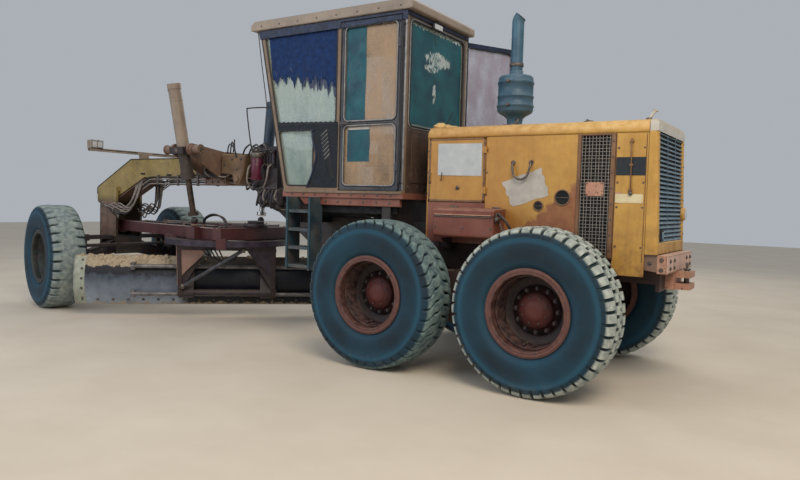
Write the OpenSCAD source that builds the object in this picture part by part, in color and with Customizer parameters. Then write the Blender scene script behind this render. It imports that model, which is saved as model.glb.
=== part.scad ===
// Motor grader: articulated frame, six wheels, drawbar with turning circle and blade.
// Millimetres. X points forward, Y to the machine's left, Z up. Origin on the ground at mid length.

/* [Stance] */
// Front axle ahead of the origin
front_axle_x = 3488; // [3400:1:3600]
// Tandem centre behind the origin
tandem_back = 2430; // [2300:1:2500]
// Distance between the two wheels of one tandem
tandem_spread = 1522; // [1460:2:1600]
// Middle of each tyre from the centreline
wheel_y = 985; // [975:1:1040]
// Front wheels' steering angle as it stands, to the left
steer_rest = -15; // [-20:1:20]

/* [Wheels] */
// Outer diameter of a tyre over its lugs
tyre_d = 1350; // [1300:2:1380]
// Width of a tyre
tyre_w = 445; // [420:1:450]
// Lugs at each tyre shoulder and the grooves between them
lug_count = 20; // [16:1:24]
lug_depth = 30; // [15:1:32]
lug_reach = 110; // [80:1:120]
lug_slant = 12; // [0:1:15]
// Diameter of the rim's bead seat
seat_d = 636; // [600:1:660]
// Width of the rim between its flanges
rim_w = 356; // [330:1:370]
// Height of the rim flange above the bead seat
flange_h = 34; // [25:1:45]
// Radius of a wheel hub
hub_r = 150; // [130:1:180]
// Radius of an axle stub
stub_r = 60; // [45:1:75]

/* [Rear frame] */
// Half width over the outside of the frame rails
rail_out = 360; // [330:1:380]
// Width of a frame rail
rail_w = 100; // [70:1:130]
// Underside of the frame rails
rail_z = 900; // [860:1:920]
// Height of the frame rails
rail_h = 250; // [200:1:280]
// Rear end of the frame rails
rail_rear_x = -3995; // [-4010:1:-3980]
// Articulation pin ahead of the origin
hitch_x = -1750; // [-1770:1:-1730]
// Radius of the articulation pin
hitch_pin_r = 50; // [40:1:60]
// Radius of the rounded hitch plates
hitch_eye_r = 120; // [100:1:140]
// Height of the rear bumper
bumper_h = 145; // [120:1:150]
// Half width of the rear bumper
bumper_hw = 490; // [450:1:510]
// Depth of the rear bumper
bumper_t = 70; // [50:1:90]
// Radius of the tow pin's bore
tow_bore_r = 25; // [20:1:30]

/* [Engine hood] */
// Rear end of the hood's side walls
hood_rear_x = -3900; // [-3920:1:-3880]
// Front end of the hood
hood_front_x = -1865; // [-1900:1:-1860]
// Half width of the hood
hood_hw = 510; // [480:1:515]
// Top of the hood
hood_z = 2230; // [2150:1:2300]
// Radius of the hood's long top edges
hood_r = 90; // [60:1:120]
// Thickness of the hood panels
panel_t = 8; // [5:1:12]
// Width of a hood side door
hood_door_w = 590; // [500:1:600]
// Bottom of a hood side door
hood_door_z = 1530; // [1500:1:1600]
// Height of a hood side door
hood_door_h = 585; // [520:1:600]
// How far the hood's sides reach below the frame rails' top
hood_skirt = 100; // [60:1:110]
// Rear edge of the hood's side grilles ahead of the hood's rear end
grille_off = 300; // [250:1:320]
// Length of a side grille
grille_l = 265; // [200:1:300]
// Height of a side grille
grille_h = 1000; // [800:10:1020]
// Width of a bar in the side grilles
grille_bar = 9; // [6:1:12]
// Distance from louvre to louvre of the radiator guard
louvre_pitch = 36; // [30:1:80]
// Outer diameter of the muffler drum
muffler_d = 340; // [300:2:360]
// Diameter of the exhaust pipe
pipe_d = 116; // [100:2:130]
// Length of the tool box
tool_box_l = 600; // [500:5:620]
// Depth of the tool box
tool_box_w = 245; // [200:1:250]
// Height of the tool box
tool_box_h = 255; // [200:1:280]

/* [Cab] */
// Rear wall of the cab
cab_rear_x = -1660; // [-1670:1:-1640]
// Front wall of the cab at its foot
cab_foot_x = -150; // [-200:1:-120]
// How far the front wall leans forward at the roof
cab_lean = 390; // [300:1:420]
// Half width of the cab
cab_hw = 610; // [590:1:630]
// Underside of the cab floor
cab_z = 1540; // [1540:1:1580]
// Thickness of the cab floor
floor_t = 60; // [50:1:80]
// Underside of the roof
roof_z = 3330; // [3250:1:3350]
// Thickness of the roof
roof_t = 100; // [80:1:120]
// Thickness of the cab walls and doors
wall_t = 40; // [30:1:50]
// Sill line between the upper and lower cab windows
belt_z = 2270; // [2200:1:2350]
// Width of a cab door
door_w = 730; // [680:1:740]
// Right cab door's opening angle as it stands
door_rest = 118; // [0:1:120]
// Width of the seat
seat_w = 500; // [450:5:550]
// Bottom of the steps
step_z = 785; // [775:1:850]
// Width of a step
step_w = 280; // [240:5:300]

/* [Front frame] */
// Half width of the front frame beam
beam_hw = 150; // [120:1:170]
// Underside of the straight beam
beam_z = 1755; // [1700:1:1780]
// Height of the straight beam
beam_h = 250; // [220:1:280]
// Bend where the gooseneck turns down, behind the front axle
bend_back = 448; // [400:1:520]
// Tip of the nose ahead of the front axle
nose_ahead = 372; // [340:1:400]
// Drop of the nose below the straight beam
nose_drop = 390; // [350:1:400]
// Distance of the lift cylinders' pivots from the centreline
trunnion_y = 700; // [680:1:720]
// Height of the lift cylinders' pivots
trunnion_z = 2060; // [2030:1:2100]
// Length of the lamp bar
lamp_bar_l = 1660; // [1500:10:1700]

/* [Front axle] */
// Axle's centre pin above the wheel centres
axle_pin_rise = 115; // [100:1:130]
// Half width between the lean pins
lean_y = 600; // [580:1:620]
// Lean bar pins above the lean pins, which are level with the wheel centres
lean_bar_rise = 240; // [230:1:260]
// Kingpin from the centreline
king_y = 705; // [700:1:720]

/* [Drawbar and circle] */
// Drawbar ball ahead of the front axle
ball_ahead = 92; // [80:1:100]
// Drawbar ball above the lean bar's pins
ball_rise = 145; // [140:1:160]
// Radius of the drawbar ball
ball_r = 60; // [50:1:70]
// Circle centre ahead of the origin
circle_x = 1320; // [1280:1:1360]
// Outer diameter of the circle
circle_d = 1530; // [1450:5:1600]
// Underside of the circle below the drawbar ball
circle_drop = 130; // [120:1:140]
// Thickness of the circle
circle_t = 70; // [60:1:80]

/* [Blade] */
// Length of the blade
blade_l = 3660; // [3400:10:3800]
// Height of the blade
blade_h = 610; // [580:1:640]
// Thickness of the blade
blade_t = 22; // [16:1:30]
// Blade's cutting edge above the ground
blade_z = 150; // [120:1:180]
// Angle of the blade to the machine's length
blade_angle = 43; // [30:1:60]

/* [Hidden] */
$fn = 48;

// Running clearance of a pin in its bore, seat gap of pieces that touch, and swing gap of doors
pin_gap = 0.1;
seat_gap = 0.3;
door_gap = 5;

tandem_x = -tandem_back;
axle_z = tyre_d / 2;
lean_z = axle_z;
axle_pin_z = axle_z + axle_pin_rise;
lean_bar_z = lean_z + lean_bar_rise;
ball_z = lean_bar_z + ball_rise;
circle_z = ball_z - circle_drop;
ball_x = front_axle_x + ball_ahead;
bend_x = front_axle_x - bend_back;
nose_x = front_axle_x + nose_ahead;
rear_wheel_x = tandem_x - tandem_spread / 2;
middle_wheel_x = tandem_x + tandem_spread / 2;
side_names = [1, -1];

paint = "#b8904a";
rust = "#8c4a38";
grille_blue = "#5d7183";
steel_dark = "#2b2b33";
rubber = "#2e4552";

// Box between two corners
module box(a, b) {
    translate(a) cube(b - a);
}

// Round bar along X, Y or Z
module bar_x(r, x0, x1) {
    translate([x0, 0, 0]) rotate([0, 90, 0]) cylinder(r = r, h = x1 - x0);
}
module bar_y(r, y0, y1) {
    translate([0, y0, 0]) rotate([-90, 0, 0]) cylinder(r = r, h = y1 - y0);
}
module bar_z(r, z0, z1) {
    translate([0, 0, z0]) cylinder(r = r, h = z1 - z0);
}

// Outline in X and Z carried along Y, and outline in Y and Z carried along X
module along_y(y0, y1) {
    translate([0, y1, 0]) rotate([90, 0, 0]) linear_extrude(y1 - y0) children();
}
module along_x(x0, x1) {
    translate([x0, 0, 0]) rotate([90, 0, 90]) linear_extrude(x1 - x0) children();
}

// Rectangle with round corners, from corner a to corner b
module soft_rect(a, b, r) {
    translate(a + [r, r]) offset(r, $fn = 24) square(b - a - [2 * r, 2 * r]);
}

// A piece and its mirror image on the other side
module both_sides() {
    children();
    mirror([0, 1, 0]) children();
}

// Wheel parts, centred on the wheel, outer side towards +Y
seat_r = seat_d / 2;
flange_r = seat_r + flange_h;
rim_hw = rim_w / 2;
flange_t = 14;
rim_t = 18;
disc_y = -70;
disc_t = 22;
stub_end = -30;
dome_y = 30;
case_y = 540;
case_t = 180;
hub_gap = 8;

module tyre_form() {
    tread_r = tyre_d / 2;
    tyre_hw = tyre_w / 2;
    half = [[seat_r + seat_gap, rim_hw - seat_gap], [flange_r + 10, rim_hw - seat_gap],
        [flange_r + 40, tyre_hw - 14], [flange_r + 100, tyre_hw], [flange_r + 190, tyre_hw - 2],
        [tread_r - 62, tyre_hw - 12], [tread_r - 18, tyre_hw - 34], [tread_r, tyre_hw - 90]];
    other = [for (i = [len(half) - 1:-1:0]) [half[i][0], -half[i][1]]];
    difference() {
        rotate([-90, 0, 0]) rotate_extrude($fn = 120) polygon(concat(half, other));
        for (side = [-1, 1], i = [0:lug_count - 1])
            rotate([0, (i + (side > 0 ? 0 : 0.5)) * 360 / lug_count, 0])
                translate([0, side * tyre_hw, tread_r]) rotate([0, 0, side * lug_slant])
                    translate([-45, side > 0 ? -lug_reach : -5, -lug_depth])
                        cube([90, lug_reach + 5, lug_depth + 10]);
    }
}

module rim_form(hub_in) {
    in_r = seat_r - rim_t;
    face = rim_hw + flange_t;
    rotate([-90, 0, 0]) rotate_extrude() polygon([
        [stub_r + pin_gap, hub_in], [stub_r + pin_gap, stub_end + seat_gap],
        [0, stub_end + seat_gap], [0, dome_y], [hub_r * 0.5, dome_y - 8],
        [hub_r * 0.8, dome_y - 30], [hub_r, dome_y - 70], [hub_r, disc_y + disc_t],
        [in_r, disc_y + disc_t], [in_r, face - 10], [in_r + 10, face], [flange_r, face],
        [flange_r, rim_hw], [seat_r, rim_hw], [seat_r, -rim_hw], [flange_r, -rim_hw],
        [flange_r, -face], [in_r, -face], [in_r, disc_y], [hub_r, disc_y], [hub_r, hub_in]]);
}

// Left side form as it is, or its mirror image on the right
module on_side(side) {
    mirror([0, side < 0 ? 1 : 0, 0]) children();
}
// Places a form on the kingpin, turned to the steering angle at rest
module at_knuckle(side) {
    translate([front_axle_x, side * king_y, 0]) rotate(steer_rest) on_side(side) children();
}

module tyre(x, side) {
    color(rubber) translate([x, side * wheel_y, axle_z]) on_side(side) tyre_form();
}
module rim(x, side) {
    color(rust) translate([x, side * wheel_y, axle_z]) on_side(side)
        rim_form(case_y + case_t + hub_gap - wheel_y);
}
module front_tyre(side) {
    color(rubber) at_knuckle(side) translate([0, wheel_y - king_y, axle_z]) tyre_form();
}
module front_rim(side) {
    color(rust) at_knuckle(side) translate([0, wheel_y - king_y, axle_z])
        rim_form(king_y + 75 - wheel_y);
}

// Tandem case: chain housing with two axle stubs and the bore of its pivot
pivot_r = 120;
pivot_len = 100;
case_r = 230;
case_mid_r = 270;
module tandem_form() {
    difference() {
        union() {
            translate([tandem_x, 0, axle_z]) along_y(case_y, case_y + case_t) {
                for (dx = [-1, 1]) translate([dx * tandem_spread / 2, 0]) circle(case_r);
                translate([-tandem_spread / 2, -case_r]) square([tandem_spread, 2 * case_r]);
                circle(case_mid_r);
            }
            for (x = [rear_wheel_x, middle_wheel_x])
                translate([x, 0, axle_z]) bar_y(stub_r, case_y + case_t - 20, wheel_y + stub_end);
        }
        translate([tandem_x, 0, axle_z]) bar_y(pivot_r + pin_gap, case_y - 1, case_y + pivot_len);
    }
}
module tandem_left() {
    color(rust) tandem_form();
}
module tandem_right() {
    color(rust) mirror([0, 1, 0]) tandem_form();
}

// Rear frame: two rails, axle housing, cross members, hitch plates and pin
rail_top = rail_z + rail_h;
rail_front_x = hitch_x - hitch_eye_r - 60;
housing_r = 210;
hitch_plate_t = 50;
hitch_low_z = 620;
hitch_high_z = 1060;
module hitch_plate(z) {
    translate([0, 0, z]) linear_extrude(hitch_plate_t) {
        translate([hitch_x, 0]) circle(hitch_eye_r);
        polygon([[hitch_x, -hitch_eye_r], [hitch_x, hitch_eye_r], [rail_front_x, rail_out - rail_w],
            [rail_front_x, rail_w - rail_out]]);
        translate([rail_front_x - 300, -rail_out]) square([300, 2 * rail_out]);
    }
}
module rear_frame() {
    color(rust) {
        both_sides() box([rail_rear_x, rail_out - rail_w, rail_z], [rail_front_x, rail_out, rail_top]);
        translate([tandem_x, 0, axle_z]) bar_y(housing_r, seat_gap - case_y, case_y - seat_gap);
        translate([tandem_x, 0, axle_z])
            bar_y(pivot_r, 3 - case_y - pivot_len, case_y + pivot_len - 3);
        box([tandem_x - 150, -rail_out, axle_z], [tandem_x + 150, rail_out, rail_z + 20]);
        for (x = [hood_rear_x + 100, hood_rear_x + 900, rail_front_x - 200])
            box([x, -hood_hw + panel_t, rail_top - 50], [x + 100, hood_hw - panel_t, rail_top]);
        box([rail_rear_x, -rail_out, rail_z - 60], [rail_rear_x + 30, rail_out, rail_top]);
        hitch_plate(hitch_low_z - seat_gap - hitch_plate_t);
        hitch_plate(hitch_high_z + seat_gap);
        box([rail_front_x - 300, -rail_out, hitch_low_z - hitch_plate_t],
            [rail_front_x - 260, rail_out, rail_z + 20]);
        translate([hitch_x, 0, 0])
            bar_z(hitch_pin_r, hitch_low_z - hitch_plate_t, hitch_high_z + hitch_plate_t + 20);
    }
}

module engine_block() {
    color("dimgray") box([hood_rear_x + 150, -rail_out + 60, rail_top],
        [hood_front_x - 185, rail_out - 60, hood_z - 280]);
}

// Hood: thin shell with round top edges, open below and at the rear, with a doorway and a grille a side
hood_foot_z = rail_top - hood_skirt;
grille_cols = 4;
grille_rows = 14;
grille_x = hood_rear_x + grille_off;
grille_z = rail_top - 50;
module grille_outline() {
    cell_l = (grille_l - grille_bar) / grille_cols - grille_bar;
    cell_h = (grille_h - grille_bar) / grille_rows - grille_bar;
    for (i = [0:grille_cols - 1]) for (j = [0:grille_rows - 1])
        translate([grille_x + grille_bar + i * (cell_l + grille_bar),
            grille_z + grille_bar + j * (cell_h + grille_bar)]) square([cell_l, cell_h]);
}
module hood_outline(t) {
    intersection() {
        soft_rect([-hood_hw + t, hood_foot_z - 200], [hood_hw - t, hood_z - t], hood_r - t);
        translate([-hood_hw, hood_foot_z]) square([2 * hood_hw, hood_z]);
    }
}
hood_door_x = hood_front_x - 20 - hood_door_w;
module hood() {
    color(paint) difference() {
        along_x(hood_rear_x, hood_front_x) hood_outline(0);
        translate([0, 0, -1]) along_x(hood_rear_x - 1, hood_front_x - panel_t) hood_outline(panel_t);
        along_x(hood_rear_x - 1, hood_front_x - panel_t)
            translate([panel_t - hood_hw, hood_foot_z - 1]) square([2 * (hood_hw - panel_t), 300]);
        box([hood_front_x - panel_t - 1, panel_t - hood_hw, hood_foot_z - 1],
            [hood_front_x + 1, hood_hw - panel_t, rail_top + seat_gap]);
        for (side = side_names) box([hood_door_x - door_gap, side * hood_hw - 50, hood_door_z - door_gap],
            [hood_door_x + hood_door_w + door_gap, side * hood_hw + 50,
                hood_door_z + hood_door_h + door_gap]);
        along_y(-hood_hw - 1, hood_hw + 1) grille_outline();
    }
}

// Hood side door, hinged at its rear edge
hood_hinge_r = 10;
module hood_door_form() {
    along_y(hood_hw - panel_t, hood_hw)
        soft_rect([hood_door_x, hood_door_z], [hood_door_x + hood_door_w, hood_door_z + hood_door_h], 15);
    for (z = [hood_door_z + 80, hood_door_z + hood_door_h - 140])
        translate([hood_door_x - door_gap, hood_hw + hood_hinge_r + seat_gap, 0]) {
            bar_z(hood_hinge_r, z, z + 60);
            box([0, -hood_hinge_r - seat_gap, z], [40, -hood_hinge_r / 2, z + 60]);
        }
}
module hood_door_left() {
    color(paint) hood_door_form();
}
module hood_door_right() {
    color(paint) mirror([0, 1, 0]) hood_door_form();
}

// Radiator guard: frame with louvres that closes the hood's rear end
guard_rear_top = hood_rear_x - 60;
guard_rear_foot = hood_rear_x - 95;
guard_foot_z = rail_top;
guard_w = 60;
louvre_l = 56;
louvre_t = 5;
module radiator_guard() {
    side = [[hood_rear_x, guard_foot_z], [hood_rear_x, hood_z], [guard_rear_top + 20, hood_z],
        [guard_rear_top, hood_z - 20], [guard_rear_foot, guard_foot_z + 100],
        [guard_rear_foot, guard_foot_z]];
    color(grille_blue) {
        difference() {
            along_y(-hood_hw, hood_hw) polygon([for (p = side) p - [seat_gap, 0]]);
            box([guard_rear_foot - 100, -hood_hw + guard_w, guard_foot_z + 100],
                [hood_rear_x + 1, hood_hw - guard_w, hood_z - 95]);
        }
        for (z = [guard_foot_z + 118:louvre_pitch:hood_z - 105])
            translate([guard_rear_foot + 45 + (z - guard_foot_z) * 0.03, 0, z]) rotate([0, 35, 0])
                box([-louvre_l / 2, -hood_hw + guard_w - 10, -louvre_t / 2],
                    [louvre_l / 2, hood_hw - guard_w + 10, louvre_t / 2]);
        translate([guard_rear_foot + 4, -hood_hw + 40, guard_foot_z + 325]) bar_x(58, -40, 16);
    }
}

// Rear bumper: plate across the rails' ends with an open tow clevis below it
bumper_rear_x = rail_rear_x - bumper_t;
bumper_z = rail_top - bumper_h - 5;
tow_hw = 110;
tow_l = 115;
tow_plate_t = 50;
tow_low_z = bumper_z - 150;
tow_pin_x = bumper_rear_x - tow_l + 45;
module rear_bumper() {
    color(rust) difference() {
        union() {
            box([bumper_rear_x, -bumper_hw, bumper_z],
                [rail_rear_x - seat_gap, bumper_hw, bumper_z + bumper_h]);
            box([bumper_rear_x, -tow_hw - 60, tow_low_z],
                [rail_rear_x - seat_gap, tow_hw + 60, bumper_z + 1]);
            box([bumper_rear_x - tow_l, -tow_hw, tow_low_z], [bumper_rear_x + 1, tow_hw, bumper_z + 1]);
        }
        translate([tow_pin_x, 0, 0]) bar_z(tow_bore_r, tow_low_z - 1, bumper_z + 2);
        box([bumper_rear_x - tow_l - 1, -tow_hw - 1, tow_low_z + tow_plate_t],
            [bumper_rear_x, tow_hw + 1, bumper_z - 50]);
    }
}

// Muffler: drum on a flared foot, with an outlet pipe that bends and ends in a slant
muffler_x = -2520;
muffler_h = 1010;
bend_r = 90;
module muffler() {
    drum_r = muffler_d / 2;
    pipe_r = pipe_d / 2;
    color(grille_blue) translate([muffler_x, 0, hood_z + seat_gap]) {
        rotate_extrude() polygon([[0, 0], [90, 0], [90, 20], [70, 60], [80, 120], [drum_r - 20, 160],
            [drum_r, 180], [drum_r, 210], [drum_r + 6, 214], [drum_r + 6, 234], [drum_r, 238],
            [drum_r, 432], [drum_r + 6, 436], [drum_r + 6, 452], [drum_r, 456], [drum_r, 490],
            [drum_r - 20, 515], [pipe_r + 4, 525], [pipe_r, 525], [pipe_r, muffler_h], [0, muffler_h]]);
        translate([-bend_r, 0, muffler_h]) rotate([90, 0, 0]) rotate_extrude(angle = 45)
            translate([bend_r, 0]) difference() {
                circle(pipe_r);
                circle(pipe_r - 5);
            }
    }
}

// Tool box on the left of the hood
tool_box_x = -2680;
tool_box_z = rail_top + 60;
lid_z = tool_box_z + tool_box_h - 56;
module tool_box() {
    color(rust) {
        box([tool_box_x, hood_hw + seat_gap, tool_box_z],
            [tool_box_x + tool_box_l - 10, hood_hw + tool_box_w - 5, lid_z + 1]);
        box([tool_box_x - 10, hood_hw + seat_gap, lid_z],
            [tool_box_x + tool_box_l, hood_hw + tool_box_w, tool_box_z + tool_box_h]);
    }
}

// Front frame: one side outline from the hitch, under the cab, up to the beam and down the nose
beam_top = beam_z + beam_h;
frame_top_z = 1330;
bolster_hw = 210;
bolster_t = 40;
pin_r = 45;
axle_gap = 110;
ball_gap = 20;
plate_gap = 30;
cheek_top = 1620;
front_plate_x = ball_x + ball_r + plate_gap;
module front_frame_outline() {
    offset(25, $fn = 16) offset(-25) polygon([[hitch_x + 80, hitch_low_z], [cab_foot_x - 350, rail_z],
        [cab_foot_x + 50, rail_z + 150], [cab_foot_x + 550, beam_z - 355], [circle_x - 460, beam_z - 65],
        [circle_x - 190, beam_z], [bend_x - 220, beam_z], [nose_x - 260, beam_z - nose_drop + 20],
        [nose_x - 30, beam_z - nose_drop + 20], [nose_x, beam_z - nose_drop + 60],
        [nose_x, beam_top - nose_drop - 15], [nose_x - 25, beam_top - nose_drop + 10],
        [bend_x + 60, beam_top], [circle_x - 170, beam_top],
        [circle_x - 570, beam_top - 65], [cab_foot_x + 250, beam_top - 515],
        [cab_foot_x, frame_top_z], [cab_rear_x + 160, frame_top_z], [cab_rear_x + 100, hitch_high_z - 20],
        [hitch_x + 80, hitch_high_z - 20]]);
}
module bolster_plate(x) {
    along_x(x, x + bolster_t) polygon([[-bolster_hw, axle_pin_z - 110], [bolster_hw, axle_pin_z - 110],
        [bolster_hw, axle_pin_z + 130], [-bolster_hw, axle_pin_z + 130]]);
}
module front_frame() {
    color(paint) difference() {
        union() {
            along_y(-beam_hw, beam_hw) front_frame_outline();
            translate([hitch_x, 0, hitch_low_z]) linear_extrude(hitch_high_z - hitch_low_z) {
                circle(hitch_eye_r);
                translate([0, -hitch_eye_r]) square([140, 2 * hitch_eye_r]);
            }
            for (x = [cab_rear_x + 160, cab_foot_x - 300])
                box([x, -cab_hw + 40, frame_top_z - 60], [x + 100, cab_hw - 40, cab_z]);
            bolster_plate(front_axle_x - axle_gap - bolster_t);
            bolster_plate(front_plate_x);
            both_sides() {
                box([front_axle_x - axle_gap - bolster_t, bolster_hw - 30, axle_pin_z + 129],
                    [front_plate_x + bolster_t, bolster_hw, cheek_top]);
                box([front_axle_x - axle_gap - bolster_t, beam_hw - 1, cheek_top - 60],
                    [front_plate_x + bolster_t, bolster_hw - 29, cheek_top]);
            }
            box([front_plate_x, -bolster_hw, axle_pin_z + 129],
                [front_plate_x + bolster_t, bolster_hw, beam_z - nose_drop + 60]);
            translate([ball_x, 0, ball_z]) bar_x(55, ball_gap, front_plate_x + 1 - ball_x);
            translate([0, 0, axle_pin_z])
                bar_x(pin_r, front_axle_x - axle_gap - 1, front_plate_x + 1);
        }
        translate([hitch_x, 0, 0]) bar_z(hitch_pin_r + pin_gap, hitch_low_z - 1, hitch_high_z + 1);
        translate([ball_x, 0, ball_z]) sphere(ball_r + seat_gap);
        box([front_axle_x - 105, -bolster_hw - 1, axle_pin_z + 128],
            [front_axle_x + 105, bolster_hw + 1, lean_bar_z + 110]);
        for (y = [-130, 130]) for (z = [axle_pin_z + 200, axle_pin_z + 450])
            translate([0, y, z]) bar_x(14, front_plate_x - 1, front_plate_x + bolster_t + 1);
    }
}

// Lift saddle: casting over the beam whose forks hold the two lift cylinders
trunnion_x = circle_x + 40;
fork_hw = 150;
fork_t = 30;
trunnion_r = 32;
module lift_saddle() {
    color(steel_dark) difference() {
        union() {
            difference() {
                box([trunnion_x - 190, -beam_hw - 60, beam_z - 90],
                    [trunnion_x + 190, beam_hw + 60, beam_top + 60]);
                along_y(-beam_hw - seat_gap, beam_hw + seat_gap)
                    offset(delta = seat_gap) front_frame_outline();
            }
            both_sides() for (dx = [-fork_hw - 34, fork_hw - 1])
                translate([trunnion_x + dx, trunnion_y, trunnion_z]) bar_x(56, 0, 35);
            for (dx = [-fork_hw, fork_hw - fork_t]) along_x(trunnion_x + dx, trunnion_x + dx + fork_t)
                for (side = side_names) {
                    translate([side * trunnion_y, trunnion_z]) circle(70);
                    polygon([[side * (beam_hw + 50), beam_z - 40], [side * (beam_hw + 50), beam_top + 60],
                        [side * trunnion_y, trunnion_z + 70], [side * (trunnion_y + 20), trunnion_z - 65]]);
                }
        }
        both_sides() translate([0, trunnion_y, trunnion_z])
            bar_x(trunnion_r + pin_gap, trunnion_x - fork_hw - 35, trunnion_x + fork_hw + 35);
    }
}

lamp_x = bend_x - 20;
module lamp_bar() {
    color(steel_dark) {
        translate([lamp_x, 0, 0]) {
            box([-25, -lamp_bar_l / 2, beam_top + 60], [25, lamp_bar_l / 2, beam_top + 100]);
            both_sides()
                box([-45, lamp_bar_l / 2 - 170, beam_top + 99], [45, lamp_bar_l / 2, beam_top + 200]);
            box([-30, -60, beam_top + seat_gap], [30, 60, beam_top + 61]);
        }
    }
}

module valve_bank() {
    color(steel_dark) {
        both_sides() box([cab_foot_x + 300, beam_hw + seat_gap, beam_z - 135],
            [cab_foot_x + 670, 400, beam_top + 95]);
    }
}

// Cab floor with its sill
cab_floor_top = cab_z + floor_t;
module cab_floor() {
    color(rust) box([cab_rear_x, -cab_hw, cab_z + seat_gap], [cab_foot_x + 20, cab_hw, cab_floor_top]);
}

// Front face of the cab at a height
function cab_front_x(z) = cab_foot_x + cab_lean * (z - cab_z) / (roof_z - cab_z);
door_x = cab_rear_x + 50;
door_foot_z = cab_floor_top + 10;
door_head_z = roof_z - 40;
pillar_w = 60;
module window_outline(x0, z0, z1, inset) {
    offset(40, $fn = 16) offset(-40) polygon([[x0, z0], [cab_front_x(z0) - pillar_w - inset, z0],
        [cab_front_x(z1) - pillar_w - inset, z1], [x0, z1]]);
}
module side_windows() {
    window_outline(door_x + door_w + 50, belt_z + 30, roof_z - 60, 0);
    window_outline(door_x + door_w + 340, cab_floor_top + 60, belt_z - 30, 0);
}
// Lower and upper edges of the front windows
screen_rows = [[cab_floor_top + 60, belt_z - 30], [belt_z + 30, roof_z - 60]];
screen_hw = cab_hw - pillar_w;
module windscreen_openings() {
    for (row = screen_rows) box([cab_foot_x - 300, -screen_hw, row[0]], [400, screen_hw, row[1]]);
}
module rear_opening() {
    soft_rect([-cab_hw + 80, belt_z - 20], [cab_hw - 80, roof_z - 80], 60);
}
// Cab side wall with its two windows and the doorway, which is open down to the floor
module cab_side_form() {
    color(grille_blue) along_y(cab_hw - wall_t, cab_hw) difference() {
        polygon([[cab_rear_x, cab_floor_top + seat_gap],
            [cab_front_x(cab_floor_top), cab_floor_top + seat_gap],
            [cab_front_x(roof_z), roof_z - seat_gap], [cab_rear_x, roof_z - seat_gap]]);
        side_windows();
        translate([door_x - door_gap, cab_floor_top - 1])
            square([door_w + 2 * door_gap, door_head_z - cab_floor_top + 1 + door_gap]);
    }
}
module cab_side_left() {
    cab_side_form();
}
module cab_side_right() {
    mirror([0, 1, 0]) cab_side_form();
}
// Front and rear walls between the side walls
wall_hw = cab_hw - wall_t - seat_gap;
module cab_front() {
    color(grille_blue) difference() {
        along_y(-wall_hw, wall_hw) polygon([[cab_front_x(cab_floor_top) - wall_t, cab_floor_top + seat_gap],
            [cab_front_x(cab_floor_top), cab_floor_top + seat_gap],
            [cab_front_x(roof_z), roof_z - seat_gap], [cab_front_x(roof_z) - wall_t, roof_z - seat_gap]]);
        windscreen_openings();
    }
}
module cab_rear() {
    color(grille_blue) difference() {
        box([cab_rear_x, -wall_hw, cab_floor_top + seat_gap],
            [cab_rear_x + wall_t, wall_hw, roof_z - seat_gap]);
        along_x(cab_rear_x - 1, cab_rear_x + wall_t + 1) rear_opening();
    }
}
module cab_roof() {
    color(paint) along_y(-cab_hw - 30, cab_hw + 30) offset(20, $fn = 16) offset(-20)
        polygon([[cab_rear_x - 70, roof_z + seat_gap], [cab_front_x(roof_z) + 110, roof_z + seat_gap],
            [cab_front_x(roof_z) + 115, roof_z + 60], [cab_front_x(roof_z) + 60, roof_z + roof_t],
            [cab_rear_x - 40, roof_z + roof_t], [cab_rear_x - 70, roof_z + 70]]);
}

// Panes that fill the windows of the cab frame
glass_t = 6;
module cab_glass() {
    mid = wall_t / 2;
    color("lightcyan", 0.4) {
        both_sides() along_y(cab_hw - mid - glass_t / 2, cab_hw - mid + glass_t / 2)
            offset(-seat_gap) side_windows();
        for (row = screen_rows) along_y(seat_gap - screen_hw, screen_hw - seat_gap)
            polygon([for (p = [[0, 0], [1, 0], [1, 1], [0, 1]])
                let (z = row[p[1]] + (1 - 2 * p[1]) * seat_gap)
                    [cab_front_x(z) - mid - p[0] * glass_t, z]]);
        along_x(cab_rear_x + mid - glass_t / 2, cab_rear_x + mid + glass_t / 2)
            offset(-seat_gap) rear_opening();
    }
}

// Cab door with two windows, hinged at its rear edge, drawn closed on the left
door_frame_w = 55;
module door_windows(inset) {
    for (z = [[door_foot_z + 60, belt_z - 10], [belt_z + 40, door_head_z - 50]])
        soft_rect([door_x + door_frame_w + inset, z[0] + inset],
            [door_x + door_w - door_frame_w - inset, z[1] - inset], 50);
}
hinge_y = cab_hw + 14;
hinge_x = door_x - door_gap;
module cab_door_form() {
    difference() {
        along_y(cab_hw - wall_t, cab_hw)
            soft_rect([door_x, door_foot_z], [door_x + door_w, door_head_z], 30);
        along_y(cab_hw - wall_t - 1, cab_hw + 1) door_windows(0);
    }
    for (z = [door_foot_z + 200, door_head_z - 300]) translate([hinge_x, hinge_y, 0]) {
        bar_z(14 - seat_gap, z, z + 90);
        box([0, -19, z], [50, -4, z + 90]);
    }
}
module door_glass_form() {
    along_y(cab_hw - wall_t / 2 - glass_t / 2, cab_hw - wall_t / 2 + glass_t / 2) door_windows(seat_gap);
}
module as_right_door() {
    translate([hinge_x, -hinge_y, 0]) rotate(-door_rest) translate([-hinge_x, hinge_y, 0])
        mirror([0, 1, 0]) children();
}
module cab_door_left() {
    color(steel_dark) cab_door_form();
}
module cab_door_right() {
    color(steel_dark) as_right_door() cab_door_form();
}
module door_glass_left() {
    color("lightcyan", 0.4) door_glass_form();
}
module door_glass_right() {
    color("lightcyan", 0.4) as_right_door() door_glass_form();
}

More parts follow.
